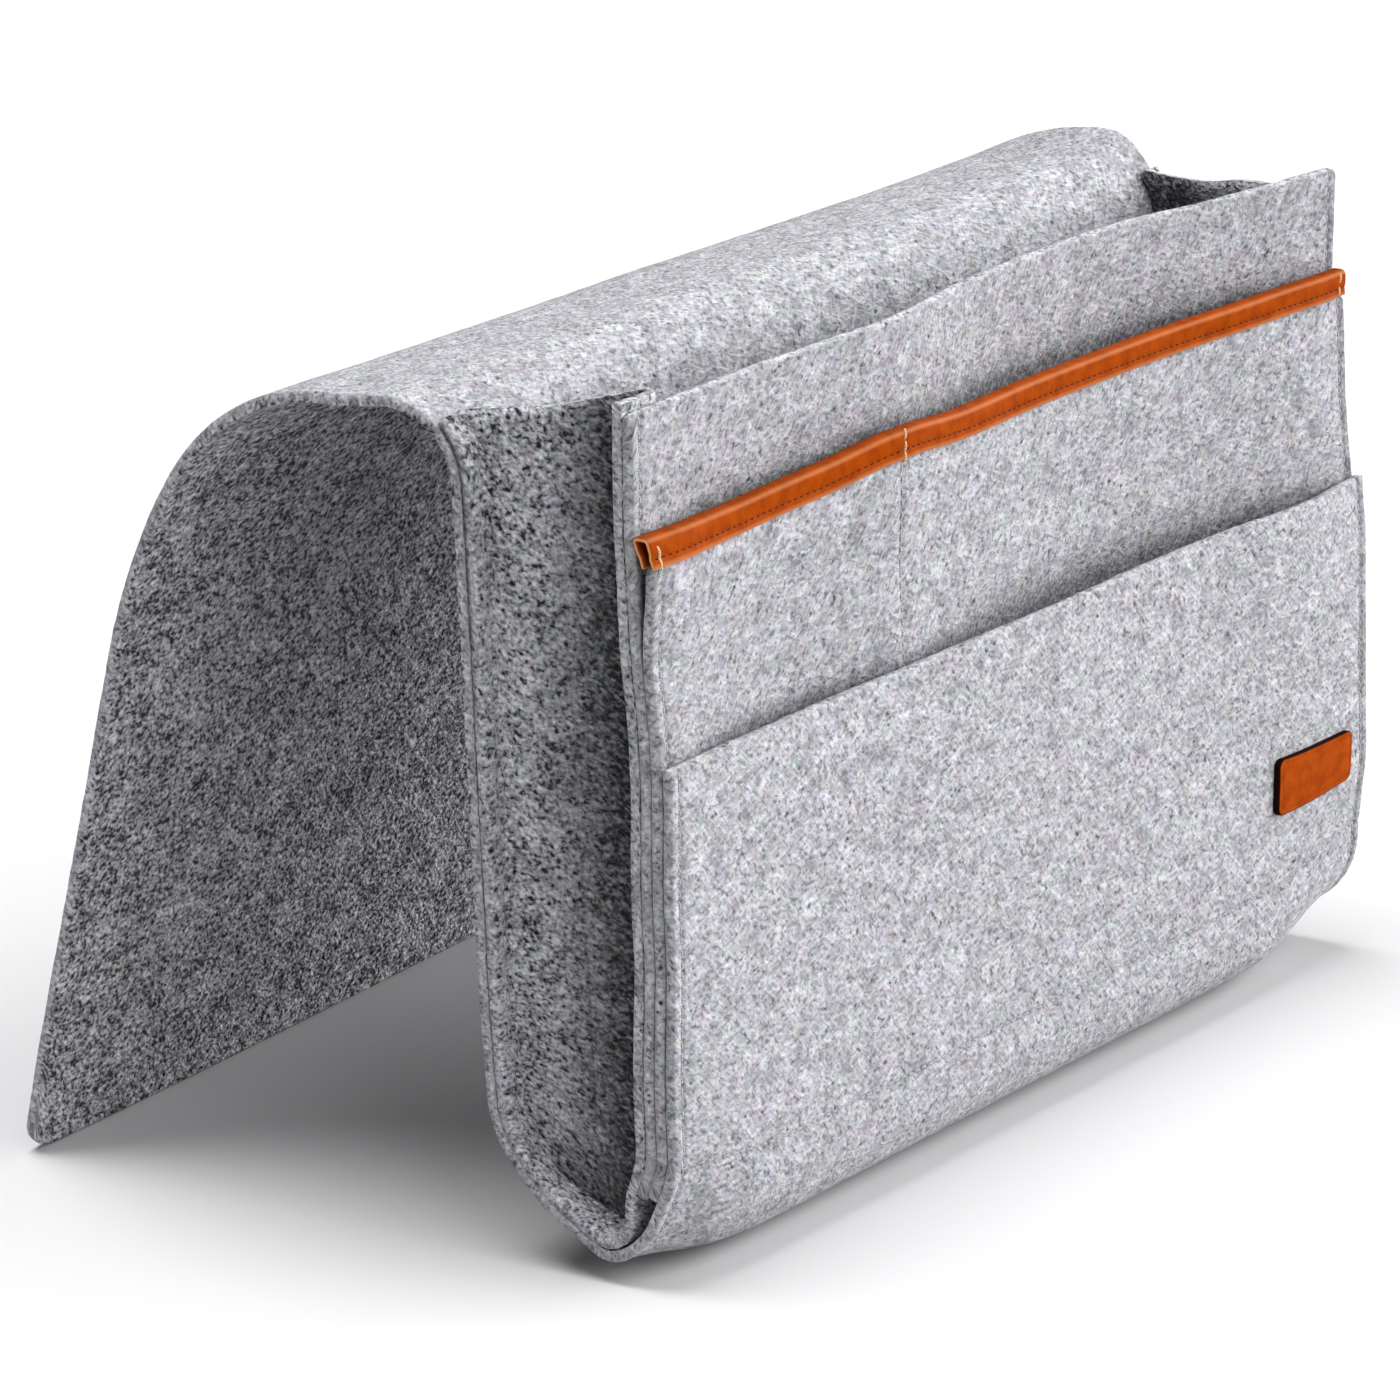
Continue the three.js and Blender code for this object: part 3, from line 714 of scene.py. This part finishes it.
# the middle panel has painted shadow above the outer pocket's lip, the inner one above the strip, and both
# are painted a little darker all over
middle_panel = panel("felt_middle_pocket", middle_face, BINDING_TOP - LAYER_SHIFT, mouth_lift, (0.9, 0.1),
                     0.1, 1.0, lambda x: OUTER_TOP - 0.5 + 0 * x)
inner_panel = panel("felt_inner_panel", inner_face, PANEL_TOP, top_lift, (1.7, 0.5),
                    0.17, 1.2, lambda x: BINDING_TOP - 0.5 + mouth_lift(x))

# %% [markdown]
# ## Gussets
#
# Each end is closed by a dished piece. Its flange lies against the long sheet all round and is
# sewn to it, then it turns in and becomes a web set back from the end: deep behind the pockets and
# nearly flush at the back wall. The flange's path follows the long sheet's inside, and the
# cross-section is swept along it and pulled together on a line down the web's middle.

# %% Gussets
GUSSET_FRONT_TOP, GUSSET_REAR_TOP = PANEL_TOP + 2.5, CROWN - 6.5
FRONT_DEPTH, REAR_DEPTH, WEB_BEND = 11.0, 4.5, 2.6
CREASE_DIP, DIP_REACH, FRONT_CREASE = 3.2, 11.0, 14.0
WIDE_FLANGE, WIDE_PLACES = 4.4, (0, 0.45, 1.3, 2.2, END_SEAM, 4.2)
NARROW_SHARES = (0, 0.12, 0.3, 0.5, 0.7, 0.85)
BACK_FACE = DEPTH - FELT
POLE = np.array([33.0, 31.0])  # where the web's lowest points meet
SIDE_ROWS, CORNER_ROWS = 66, 24
SHEET_TO_SHOULDER = walk.legs[5][0]  # the sixth leg is the shoulder's bend


def flange_inset(s):
    """How far the flange lies inside the long sheet's middle: two panels lie between at the front."""
    height = OUTER_TOP - s
    panels = (2 * PITCH - lean(height)) * (1 - smooth(-height, -PANEL_FOOT, 22 - PANEL_FOOT))
    return HALF + GAP + panels


def gusset_path():
    """Points and inward directions of the flange's outer face, from the front's top to the rear's."""
    centre_z, shoulder = CROWN - SHOULDER, SHOULDER - HALF
    climb = math.asin((GUSSET_REAR_TOP - centre_z) / (SHOULDER + GAP))
    bends = OUTER_TOP - FRONT_BEND, SHEET_TO_SHOULDER - (CROWN - SHOULDER - REAR_BEND)
    end = SHEET_TO_SHOULDER + climb * shoulder
    run = np.concatenate([np.linspace(OUTER_TOP - GUSSET_FRONT_TOP, bends[0], SIDE_ROWS),
                          np.linspace(*bends, CORNER_ROWS)[1:],
                          np.linspace(bends[1], end, SIDE_ROWS)[1:]])
    path, inward = [], []
    for s in run:
        point, degrees = walk.place(s)
        inward.append(heading(degrees + 90))
        path.append(point + inward[-1] * float(flange_inset(s)))
    return np.array(path), np.array(inward)


def web_depth(y):
    share = np.clip((BACK_FACE - y) / BACK_FACE, 0, 1)
    return REAR_DEPTH + (FRONT_DEPTH - REAR_DEPTH) * np.sin(np.pi * share / 2)


def slumped(y, z):
    """How far the far gusset's free top edge has sunk."""
    front = 3.4 * (1 - smooth(y, 8, 60)) + 2.2 * (1 - smooth(y, 14, 34))
    return (front + 2 * np.exp(-((y - 45) / 16) ** 2)) * smooth(z, 130, 222)


def crease_shade(y, z):
    """Painted shade on the web beside the front flange, a soft band that widens downwards. Further off the
    value is below zero, which paints the rest of the web a little lighter.
    """
    reach = 24 + 13 * (1 - smooth(z, 150, 215)) + 5 * (1 - smooth(z, 20, 90))
    return 2.0 * np.clip((reach - (y - FRONT_CREASE)) / (reach - 8), 0, 1) - 0.35


def gusset(name, mirrored):
    path, inward = gusset_path()
    rows = len(path)
    top = (path[0] + path[-1]) / 2
    surface, flat, shades = [], [], []
    for k in range(rows):
        from_top = min(k, rows - 1 - k)
        spine = top + (POLE - top) * min(1, from_top / (SIDE_ROWS - 1))
        crease = path[k] + inward[k] * (HALF + WEB_BEND)
        dip = CREASE_DIP * (0.1 + 0.9 * (web_depth(crease[0]) - REAR_DEPTH) / (FRONT_DEPTH - REAR_DEPTH))
        depth = web_depth(crease[0]) + dip + HALF
        flange = depth - WEB_BEND
        places = WIDE_PLACES if flange > WIDE_FLANGE else [flange * share for share in NARROW_SHARES]
        profile = [(HALF, x) for x in (*places, flange)]
        for c, s in map(heading, np.linspace(0, 90, 6)[1:]):
            profile.append((HALF + WEB_BEND * (1 - c), flange + WEB_BEND * s))
        points = [(x, *(path[k] + inward[k] * inset)) for inset, x in profile]
        spread = [path[k] - inward[k] * (flange - x) * 0.9 if x < flange else np.array(p[1:])
                  for (inset, x), p in zip(profile, points)]
        for share in np.linspace(0, 1, 14)[1:] ** 1.3:
            place = crease + (spine - crease) * share
            sunk = dip * math.exp(-(math.dist(place, crease) / DIP_REACH) ** 2)
            points.append((web_depth(place[0]) + sunk + HALF, *place))
            spread.append(place)
        # painted shade and light from the web's third bend point on; the flange gets none
        web = len(profile) - 3
        shades.append([0] * web + [crease_shade(*p[1:]) for p in points[web:]])
        surface.append(points)
        flat.append(spread)
    columns = len(surface[0])
    surface = np.array(surface).reshape(-1, 3)
    flat = np.array(flat).reshape(-1, 2) * MM + np.array([2.3, 0.2 if mirrored else 0.9])
    # the two halves and the fan round the pole meet on the spine, so matching points become one
    met, keep = {}, list(range(len(surface)))
    for index in range(columns - 1, len(surface), columns):
        keep[index] = met.setdefault(tuple(np.round(surface[index], 4)), index)
    used = sorted(set(keep))
    place = {v: i for i, v in enumerate(used)}
    trimmed = [list(dict.fromkeys(place[keep[v]] for v in corners)) for corners in grid_faces(rows, columns)]
    surface, flat, shades = surface[used], flat[used], np.array(shades).ravel()[used]
    if mirrored:
        surface[:, 0] = LENGTH - surface[:, 0]
        surface[:, 2] -= slumped(surface[:, 1], surface[:, 2])
        trimmed = [c[::-1] for c in trimmed]
    # painted shade on the inner face, high up towards the back wall
    inside = 1.8 * smooth(surface[:, 1], 30, 52) * smooth(surface[:, 2], 120, 190)
    return thick_body(name, settle(surface), trimmed, flat, felt, ragged=0.2, lumps=0.15, grain_and_shade_contrast=(0.85, 0.5),
                      seam=(shades, inside))


left_gusset = gusset("felt_left_gusset", False)
right_gusset = gusset("felt_right_gusset", True)

# %% [markdown]
# ## Leather binding
#
# A strip of leather about 16 mm wide is folded over the middle pocket's mouth and sewn through.
# Its section is an upside-down U. The needle pulls the two leaves together, so the leather swells
# above the stitches and its lower edge stands off a little.

# %% Leather binding
LEATHER, SEAM_BELOW = 1.2, 4.3
STRIP_LENGTH, STRIP_START = LENGTH + 0.6, -0.8
FOLD = HALF - LEAF_SQUEEZE + GAP + LEATHER / 2


def binding_section():
    """Points of the U in (across, height below the fold's top), from the front leaf to the rear."""
    leaf = []
    for below in np.linspace(LEAF, FOLD, 12):
        pulled = 0.20 * math.exp(-((below - SEAM_BELOW) / 0.5) ** 2)
        swell = 0.10 * math.exp(-((below - 2.9) / 1.2) ** 2) - pulled
        swell += 0.15 * smooth(below, SEAM_BELOW + 0.5, LEAF)
        leaf.append((-(FOLD + swell), below))
    arc = []
    for c, s in map(heading, np.linspace(0, 180, 15)[1:-1]):
        arc.append((-math.copysign(abs(c) ** 0.4, c) * FOLD, FOLD - FOLD * s ** 0.4))
    return leaf + arc + [(-across, below) for across, below in reversed(leaf)]


def strip_place(x, across, below):
    """A settled place on the strip's middle: so far across from the panel, so far below the fold."""
    near_end = np.exp(-(np.clip(np.minimum(x, LENGTH - x), 0, LENGTH) / 6) ** 2)
    pinch = 1 - groove(x - DIVIDER, 0.16, 0.8) - near_end * (0.05 + 0.22 * smooth(below, 0, LEAF))
    below = below * (1 + 0.06 * (1 - smooth(x, 90, 150)))
    centre = middle_face(x, BINDING_TOP - below) + HALF
    return settle(np.stack([x, centre + across * pinch, BINDING_TOP - below + mouth_lift(x)], axis=-1))


def strip_wear_and_highlight(across, below):
    """The strip is worn paler along its lower edges, and has a painted highlight along the crease of its
    front fold.
    """
    # painted highlight along the front fold
    crease = 0.28 * math.exp(-((below - 0.4) / 0.25) ** 2) if across < 0 else 0
    return 0.3 * smooth(below, LEAF - 1.2, LEAF - 0.3) + crease


section = binding_section()
binding_x = lines(STRIP_LENGTH, 2.6, [DIVIDER - STRIP_START]) + STRIP_START
rows = [strip_place(binding_x, across, below) for across, below in section]
run = np.cumsum([0] + [math.dist(a, b) for a, b in zip(section, section[1:])])
# worn lower edges, and the painted highlight along the fold
wear_and_highlight = [strip_wear_and_highlight(across, below) for across, below in section]
binding = thick_body("leather_pocket_binding", np.array(rows).reshape(-1, 3),
                     grid_faces(len(section), len(binding_x)), cloth_map(binding_x, run), strip_leather,
                     half=LEATHER / 2, edge_round=0.3, lumps=0.03, bulge=0.12,
                     seam=np.repeat(wear_and_highlight, len(binding_x)))
print("strip", round(run[-1], 1), "mm wide before folding")

# %% [markdown]
# ## Leather patch
#
# A small plain patch sits low at the right. It is a thick piece with rounded corners: rings of
# points follow a rounded rectangle, first up the dark edge, then in over the face, with a shallow
# pressed line inside the rim.

# %% Leather patch
PATCH_W, PATCH_H, PATCH_T, PATCH_CORNER = 36.0, 16.0, 2.0, 2.2
PATCH_X, PATCH_Z, PATCH_TILT = 291.0, 58.0, -3.5
PATCH_CORE = 7.9  # the face narrows to a line this far in


def rounded_outline():
    """Points round the patch: 12 on each corner, and one about each 1.6 mm between corners."""
    ring = []
    for quarter, (sx, sz) in enumerate(((1, 1), (-1, 1), (-1, -1), (1, -1))):
        centre = np.array([sx * (PATCH_W / 2 - PATCH_CORNER), sz * (PATCH_H / 2 - PATCH_CORNER)])
        ring += [centre + heading(90 * quarter + a) * PATCH_CORNER for a in np.linspace(0, 90, 12)]
    filled = []
    for p, q in zip(ring, ring[1:] + ring[:1]):
        count = int(np.linalg.norm(q - p) / 1.6) + 1
        filled += [p + (q - p) * i / count for i in range(count)]
    return filled


# inset from the outline, height over the felt, and how dark
PATCH_RINGS = [(0.15, 0.0, 1.0), (0.0, 0.35, 1.0), (0.0, 1.35, 1.0), (0.12, 1.8, 0.9), (0.45, 2.0, 0.35),
               (0.95, 2.02, 0.0), (1.30, 1.86, 0.25), (1.65, 1.86, 0.25), (2.0, 2.03, 0.0), (3.0, 2.05, 0.0),
               (4.4, 2.06, 0.0), (6.0, 2.06, 0.0), (7.3, 2.06, 0.0)]


def make_patch():
    outline = rounded_outline()
    count = len(outline)
    vertices, burnt, maps = [], [], []
    for inset, height, burn in PATCH_RINGS:
        for p in outline:
            core = np.array([np.clip(p[0], PATCH_CORE - PATCH_W / 2, PATCH_W / 2 - PATCH_CORE), 0.0])
            q = p + (core - p) * (inset / (PATCH_CORE if inset > 2 else np.linalg.norm(p - core)))
            x, z = q[0] * heading(PATCH_TILT) + q[1] * heading(PATCH_TILT + 90) + (PATCH_X, PATCH_Z)
            vertices.append((x, -GAP + 0.15 - height, z))
            burnt.append(burn)
            maps.append((q[0] * MM + 3.1, q[1] * MM + (PATCH_T - height) * MM * (burn > 0.5)))
    faces = []
    for ring in range(len(PATCH_RINGS) - 1):
        for i in range(count):
            a, b = ring * count + i, ring * count + (i + 1) % count
            faces.append((a, b, b + count, a + count))
    last = (len(PATCH_RINGS) - 1) * count
    faces += [tuple(range(last, last + count)), tuple(reversed(range(count)))]
    corner_maps = [maps[v] for corners in faces for v in corners]
    return as_piece("leather_patch_bare", settle(np.array(vertices)), faces, corner_maps, {"rim": burnt},
                    patch_leather)


patch = make_patch()

# %% [markdown]
# ## Stitches
#
# A seam is one short thread bar repeated along a line, so Geometry Nodes place it. The line
# carries the direction away from the cloth in an "away" attribute. The tree resamples the line at
# the stitch pitch, sweeps one small arched bar, turns a copy along the line at each point, and
# makes the copies real.

# %% The stitch tree
SIZES = {"Pitch": 0.003, "Bar length": 0.0022, "Thread radius": 0.0003, "Arch": 0.0004}
THREAD_PROUD = 0.35  # how far a row's middle stands off a panel's face
WOBBLE, WOBBLE_SEED = (0.05, 0.04, 0.09), 7  # how far each bar turns at random, in radians


def stitch_tree():
    tree = bpy.data.node_groups.new("stitch_row", "GeometryNodeTree")

    def socket(name, kind, way="INPUT"):
        return tree.interface.new_socket(name, in_out=way, socket_type="NodeSocket" + kind)

    socket("Geometry", "Geometry")
    for name, size in SIZES.items():
        socket(name, "Float").default_value = size
    socket("Thread", "Material")
    socket("Geometry", "Geometry", "OUTPUT")

    base = Value(tree, None)
    add, given = base.out, base.join("NodeGroupInput", {}).outputs
    line, pitch, length, radius, rise, thread = (Value(tree, given[i]) for i in range(6))
    curve = add("GeometryNodeMeshToCurve", {}, line)
    spaced = add("GeometryNodeResampleCurve", {"mode": "LENGTH"}, ("Curve", curve), ("Length", pitch))

    # one bar: a thin tube along a low arch whose ends are sunk in the cloth
    tips = [add("ShaderNodeCombineXYZ", {}, ("X", length * share), ("Z", radius * -0.9))
            for share in (-0.5, 0.5)]
    crest = add("ShaderNodeCombineXYZ", {}, ("Z", rise))
    arch = add("GeometryNodeCurveQuadraticBezier", {}, ("Resolution", 5), ("Start", tips[0]),
               ("Middle", crest), ("End", tips[1]))
    ring = add("GeometryNodeCurvePrimitiveCircle", {}, ("Resolution", 6), ("Radius", radius))
    bar = add("GeometryNodeCurveToMesh", {}, ("Curve", arch), ("Profile Curve", ring), ("Fill Caps", True))

    # its turn: along the line, standing away from the cloth, and a little uneven
    tangent = add("GeometryNodeInputTangent", {})
    along = add("FunctionNodeAlignRotationToVector", {"axis": "X"}, ("Vector", tangent))
    away = add("GeometryNodeInputNamedAttribute", {"data_type": "FLOAT_VECTOR"}, ("Name", "away"))
    stand = add("FunctionNodeAlignRotationToVector", {"axis": "Z", "pivot_axis": "X"},
                ("Rotation", along), ("Vector", away))
    wobble = add("FunctionNodeRandomValue", {"data_type": "FLOAT_VECTOR"},
                 ("Min", tuple(-w for w in WOBBLE)), ("Max", WOBBLE), ("Seed", WOBBLE_SEED))
    uneven = add("FunctionNodeRotateRotation", {"rotation_space": "LOCAL"}, stand,
                 add("FunctionNodeEulerToRotation", {}, wobble))

    copies = add("GeometryNodeInstanceOnPoints", {}, ("Points", spaced), ("Instance", bar),
                 ("Rotation", uneven))
    smoothed = add("GeometryNodeSetShadeSmooth", {}, add("GeometryNodeRealizeInstances", {}, copies))
    dressed = add("GeometryNodeSetMaterial", {}, ("Geometry", smoothed), ("Material", thread))
    base.join("NodeGroupOutput", {}, dressed)
    return tree


STITCH_ROW = stitch_tree()
print("stitch tree nodes:", len(STITCH_ROW.nodes))


# %% Sewing a row of stitches
def sew(name, paths, thread, pitch=3.0, bar=2.2, radius=0.28, arch=0.45):
    """Stitches along paths of (point, direction away from the cloth), in sheet millimetres."""
    vertices, edges, away = [], [], []
    for path in paths:
        start = len(vertices)
        vertices += [point for point, _ in path]
        away += [direction for _, direction in path]
        edges += [(start + i, start + i + 1) for i in range(len(path) - 1)]
    mesh = bpy.data.meshes.new(name)
    mesh.from_pydata(into_frame(np.array(vertices)).tolist(), edges, [])
    attribute = mesh.attributes.new("away", "FLOAT_VECTOR", "POINT")
    attribute.data.foreach_set("vector", np.array(away, np.float32).ravel())
    line = placed(name, mesh)
    rows = line.modifiers.new("stitches", "NODES")
    rows.node_group = STITCH_ROW
    wanted = {name: size * MM for name, size in zip(SIZES, (pitch, bar, radius, arch))} | {"Thread": thread}
    for item in STITCH_ROW.interface.items_tree:
        if item.item_type == "SOCKET" and item.in_out == "INPUT" and item.name in wanted:
            rows[item.identifier] = wanted[item.name]
    graph = bpy.context.evaluated_depsgraph_get()
    made = bpy.data.meshes.new_from_object(line.evaluated_get(graph), depsgraph=graph)
    made.name = name
    line.modifiers.clear()
    line.data = made
    bpy.data.meshes.remove(mesh)
    print(name, "has", len(made.polygons), "faces")
    return line


FRONTWARD, REARWARD = (0.0, -1.0, 0.0), (0.0, 1.0, 0.0)


def steps(first, last, apart):
    return np.linspace(first, last, max(2, int(abs(last - first) / apart)))


def on_face(face, xs, zs, proud, away):
    """A path on a panel's face, up it or along it."""
    points = [(x, float(face(np.array(x), np.array(z))) + proud, z) for x, z in np.broadcast(xs, zs)]
    return [(p, away) for p in settle(points)]


def round_the_bag(x, s0, s1):
    """A path on the long sheet's face near an end, between two lengths along the sheet."""
    points, directions = [], []
    for s in np.arange(s0, s1, 1.5):
        out = heading(walk.place(s)[1] - 90)
        points.append(sheet_surface(np.array([x]), s)[0] + np.array([0, *(out * (HALF - 0.42))]))
        directions.append((0.0, *out))
    return list(zip(settle(np.array(points)), directions))


def flange_path(x):
    """A path on the hollow side of a gusset's flange."""
    path, inward = gusset_path()
    path, inward = path[3:-8], inward[3:-8]
    points = np.array([(x, *(p + n * (FELT - 0.05))) for p, n in zip(path, inward)])
    if x > LENGTH / 2:
        points[:, 2] -= slumped(points[:, 1], points[:, 2])
    return list(zip(settle(points), [(0.0, *n) for n in inward]))


ends = (END_SEAM, LENGTH - END_SEAM)
width = steps(4, LENGTH - 4, 3)
felt_paths = [round_the_bag(x, 2.0, GUSSET_END) for x in ends]
for face, low, high in ((middle_face, OUTER_TOP + 2, BINDING_TOP - LEAF - 2),
                        (inner_face, BINDING_TOP + 1, PANEL_TOP - 2)):
    felt_paths += [on_face(face, x, steps(low, high, 2), THREAD_PROUD, FRONTWARD) for x in ends]
felt_paths += [flange_path(x) for x in ends]
felt_paths += [
    on_face(middle_face, DIVIDER, steps(OUTER_TOP - 60, BINDING_TOP - LEAF - 1, 2), 0.5, FRONTWARD),
    on_face(inner_face, DIVIDER, steps(BOTTOM_SEAM, BINDING_TOP - 2, 2), FELT - 0.5, REARWARD),
    on_face(inner_face, width, BOTTOM_SEAM, FELT, REARWARD),
    on_face(lambda x, z: 0 * x, width, BOTTOM_SEAM, 0.38, FRONTWARD)]
seam_stitches = sew("felt_seam_stitches", felt_paths, grey_thread)


FRONT_LEAF = len(section) // 2 + 1
leaf_across, leaf_below = np.array(section[:FRONT_LEAF]).T


def on_the_strip(xs, below, proud):
    """A path along the strip's front leaf, or up it where the places along X are all alike."""
    points, directions = [], []
    for x, b in np.broadcast(xs, below):
        across = float(np.interp(-b, -leaf_below, leaf_across))
        out = np.array([across, max(0.0, FOLD - b)])
        out = out / np.linalg.norm(out)
        middle = strip_place(np.array([x]), across, b)[0]
        points.append(middle + np.array([0, *(out * (LEATHER / 2 + proud))]))
        directions.append((0.0, *out))
    return list(zip(points, directions))


binding_paths = [on_the_strip(np.arange(x0, x1, 2.0), SEAM_BELOW, -0.02)
                 for x0, x1 in ((1.2, DIVIDER - 1.4), (DIVIDER + 1.4, LENGTH - 2.4))]
binding_stitches = sew("binding_seam_stitches", binding_paths, brown_thread, pitch=2.6, bar=1.6, radius=0.24,
                       arch=0.3)


def tie(x, low, high, slant):
    """Cream stitches up the front leaf, from one depth below the fold to another."""
    return on_the_strip(x + slant * np.linspace(0, 1, 12), np.linspace(low, high, 12), 0.0)


cream_paths = [tie(DIVIDER - 0.3, LEAF - 0.6, 0.9, 0.5), tie(1.9, 5.4, 2.9, 0.2),
               tie(LENGTH - 3.8, 5.0, 1.6, 0.3)]
cream_stitches = sew("binding_tie_stitches", cream_paths, cream_thread, pitch=2.7, bar=2.6, radius=0.42,
                     arch=0.5)

# %% [markdown]
# ## The floor
#
# A pale floor, wide enough to have no edge in view. It is the stage and no part of the caddy.

# %% Floor
floor_finish = bpy.data.materials.new("pale_floor")
floor_finish.use_nodes = True
feed(floor_finish.node_tree.nodes["Principled BSDF"], {"Base Color": (0.54, 0.54, 0.54, 1), "Roughness": 0.9})
floor_mesh = bpy.data.meshes.new("floor")
REACH, FLOOR_Z = 6.0, -0.0002
floor_mesh.from_pydata([(REACH * i, REACH * j, FLOOR_Z) for i, j in ((-1, -1), (1, -1), (1, 1), (-1, 1))],
                       [], [(0, 1, 2, 3)])
floor_mesh.materials.append(floor_finish)
floor = placed("floor", floor_mesh)
print("floor", 2 * REACH, "m wide")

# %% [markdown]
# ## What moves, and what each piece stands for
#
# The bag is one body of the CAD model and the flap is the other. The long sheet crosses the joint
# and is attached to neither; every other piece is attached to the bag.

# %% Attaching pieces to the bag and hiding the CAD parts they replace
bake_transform(long_sheet)
for piece, slot, *nodes in (
        (long_sheet, "felt", "main_sheet", "mattress_flap"), (middle_panel, "felt", "middle_pocket_panel"),
        (inner_panel, "felt", "inner_front_panel"), (left_gusset, "felt", "left_gusset"),
        (right_gusset, "felt", "right_gusset"), (binding, "leather", "leather_binding"),
        (patch, "patch", "leather_patch"), (seam_stitches, "felt"), (binding_stitches, "leather"),
        (cream_stitches, "leather")):
    if nodes:
        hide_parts(*nodes)
    if piece is not long_sheet:
        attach(piece, "bag")

SHEET_RUN * MM
for piece, top in ((middle_panel, BINDING_TOP - LAYER_SHIFT), (inner_panel, PANEL_TOP)):
    (top - PANEL_FOOT) * MM
